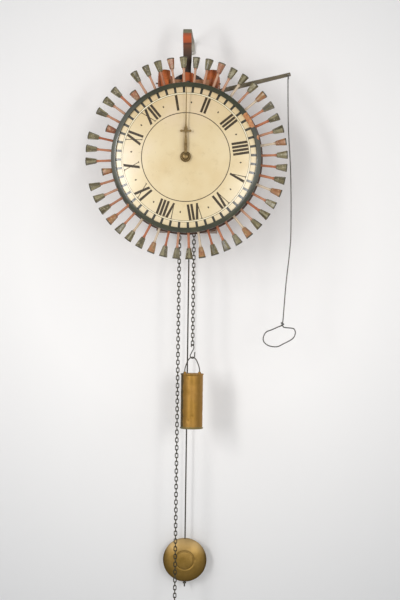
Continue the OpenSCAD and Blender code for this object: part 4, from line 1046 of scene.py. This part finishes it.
# Pendulum
class CLOCK_OT_pendulum(bpy.types.Operator):
    """Makes the brass bob with its turned groove and soft dents, and the nut under it"""
    bl_idname = "clock.pendulum"
    bl_label = "Pendulum bob and nut"

    def execute(self, context):
        low, high = box("pendulum_bob")
        r = (high.x - low.x) / 2 / MM + 1.4
        t = (high.y - low.y) / 2 / MM
        big = ((r + 1) ** 2 + t ** 2) / (2 * t)
        marks = dents(9, 12, 0, 1, 0.35 * MM, 9 * MM)
        groove, deep, half = 20.0, 1.5, 2.8

        def swell(x):
            return math.sqrt(big * big - x * x) - (big - t)

        def wobble(rr, hh, a):
            for at, share, depth, reach in marks:
                far = share * r * MM
                px, pz = rr * math.cos(a) - far * math.cos(at), rr * math.sin(a) - far * math.sin(at)
                if abs(hh) > 1.2 * MM:
                    hh -= math.copysign(press(math.hypot(px, pz), depth, reach), hh)
            return rr, hh

        xs = [0] + [r * i / 30 for i in range(1, 30)] + [r - 0.5] + [groove + 0.5 * i for i in range(-7, 8)]
        side = [(x, swell(x) - deep * max(0.0, 1 - abs(x - groove) / half) ** 1.3 - 0.04) for x in sorted(xs)]
        rim = 0.5 * swell(r - 0.5)
        bm = bmesh.new()
        lathe(bm, [(x, -h) for x, h in side] + [(r, -rim), (r, rim)] + side[::-1], (low + high) / 2, "Y", 160,
              wobble)
        put(bm, "bob_lens", "bob", paint["bob"], "pendulum_bob")
        low, high = box("rating_nut")
        h, r = (high.z - low.z) / MM - 1.4, 3.9
        bm = bmesh.new()
        lathe(bm, [(0, 0), (r - 0.8, 0), (r, 0.8), (r, h - 1.6), (r - 1.4, h), (0, h)],
              Vector(((low.x + high.x) / 2, (low.y + high.y) / 2, low.z)), steps=32)
        put(bm, "small_nut", "nut", paint["iron"], "rating_nut")
        return {"FINISHED"}


# Stage
def pale_wall(colour):
    """Matt white paper, painted grey toward its top and foot as painted shade where the light falls off. From
    behind it is clear, so that the clock's back can be looked at."""
    m, t, at = new_material("pale_wall", 0.9)
    far = add(t, "VectorMath", {0: at, 1: (0.02, 0, -0.42)}, out="Value", operation="DISTANCE")
    join(m, toned(t, (*colour, 1), "#d9d9d9", far, [(0.38, 0.0), (0.9, 1.0)]))
    back = add(t, "NewGeometry", {}, out="Backfacing")
    clear = add(t, "BsdfTransparent", {})
    seen = add(t, "MixShader", {"Fac": back, 1: t.nodes["Principled BSDF"].outputs[0], 2: clear})
    t.links.new(seen, t.nodes["Material Output"].inputs["Surface"])
    return m


class CLOCK_OT_stage(bpy.types.Operator):
    """Sets up the pale wall and floor, soft studio lamps and the camera"""
    bl_idname = "clock.stage"
    bl_label = "Studio"

    def execute(self, context):
        scene = context.scene
        p = scene.clock_stage
        paper = pale_wall(p.wall_colour)
        side, front, back, foot, top = 3, -3.2, 0.002, -1.9, 1.7
        for name, places in (
            ("wall", [(-side, back, foot), (side, back, foot), (side, back, top), (-side, back, top)]),
            ("floor", [(-side, front, foot), (side, front, foot), (side, back, foot), (-side, back, foot)]),
        ):
            mesh = bpy.data.meshes.new(name)
            mesh.from_pydata(places, [], [(0, 1, 2, 3)])
            mesh.materials.append(paper)
            obj = bpy.data.objects.new(name, mesh)
            scene.collection.objects.link(obj)
        scene.world = bpy.data.worlds.new("studio")
        scene.world.use_nodes = True
        sky = scene.world.node_tree.nodes["Background"].inputs
        sky["Color"].default_value = srgb("#f2f3f5")
        sky["Strength"].default_value = 0.4
        # two upright strips, leaning inward at the foot, gleam on the left and the lower right of the
        # dial's rim
        aim = Vector((0, -0.1, -0.5))
        for name, at, size, share, lean in (
            ("key", (-2.0, -2.1, 0.45), (1.7, 2.0), 0.5, 0),
            ("fill", (2.0, -2.1, 0.15), (1.7, 2.0), 0.55, 0),
            ("left strip", (-1.24, -2.5, -0.22), (0.34, 1.3), 1.24, 18),
            ("right strip", (0.9, -2.5, -0.42), (0.34, 1.0), 0.72, -22),
        ):
            lamp = bpy.data.lights.new(name, "AREA")
            lamp.shape = "RECTANGLE"
            lamp.size, lamp.size_y = size
            lamp.energy = p.key_power * share
            obj = bpy.data.objects.new(name, lamp)
            obj.location = at
            turn = (aim - Vector(at)).to_track_quat("-Z", "Y").to_matrix()
            obj.rotation_euler = (turn @ Matrix.Rotation(math.radians(lean), 3, "Z")).to_euler()
            scene.collection.objects.link(obj)
        cam = bpy.data.cameras.new("view")
        cam.sensor_fit = "VERTICAL"
        cam.sensor_height = 36
        cam.lens = p.lens
        obj = bpy.data.objects.new("view", cam)
        yaw, roll = math.radians(-2.53), math.radians(0.78)
        forward = Vector((math.sin(yaw), math.cos(yaw), 0))
        right = Vector((math.cos(yaw), -math.sin(yaw), 0))
        across = math.cos(roll) * right + math.sin(roll) * Z
        up = math.cos(roll) * Z - math.sin(roll) * right
        m = Matrix((across, up, -forward)).transposed().to_4x4()
        m.translation = (0.157, -3.0, DIAL_Z - 0.293)
        obj.matrix_world = m
        scene.collection.objects.link(obj)
        scene.camera = obj
        scene.view_settings.view_transform = "Standard"
        return {"FINISHED"}


class CLOCK_PT_panel(bpy.types.Panel):
    bl_label = "Watchman's clock"
    bl_idname = "CLOCK_PT_panel"
    bl_space_type = "VIEW_3D"
    bl_region_type = "UI"
    bl_category = "Clock"

    def draw(self, context):
        for group in (context.scene.clock_dial, context.scene.clock_stage):
            for key in group.__annotations__:
                self.layout.prop(group, key)
        for op in OPERATORS:
            self.layout.operator(op.bl_idname)


OPERATORS = (CLOCK_OT_dial, CLOCK_OT_pegs, CLOCK_OT_hand, CLOCK_OT_frame, CLOCK_OT_lever, CLOCK_OT_weight,
             CLOCK_OT_pendulum, CLOCK_OT_stage)
CLASSES = (ClockDial, ClockStage) + OPERATORS + (CLOCK_PT_panel,)


def register():
    for c in CLASSES:
        bpy.utils.register_class(c)
    bpy.types.Scene.clock_dial = bpy.props.PointerProperty(type=ClockDial)
    bpy.types.Scene.clock_stage = bpy.props.PointerProperty(type=ClockStage)


def unregister():
    del bpy.types.Scene.clock_stage
    del bpy.types.Scene.clock_dial
    for c in reversed(CLASSES):
        bpy.utils.unregister_class(c)


def main():
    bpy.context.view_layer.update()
    register()
    make_materials()
    dress_nodes()
    bpy.ops.clock.stage()
    bpy.ops.clock.dial()
    bpy.ops.clock.pegs()
    bpy.ops.clock.hand()
    bpy.ops.clock.frame()
    bpy.ops.clock.lever()
    bpy.ops.clock.weight()
    bpy.ops.clock.pendulum()


if __name__ == "__main__":
    main()
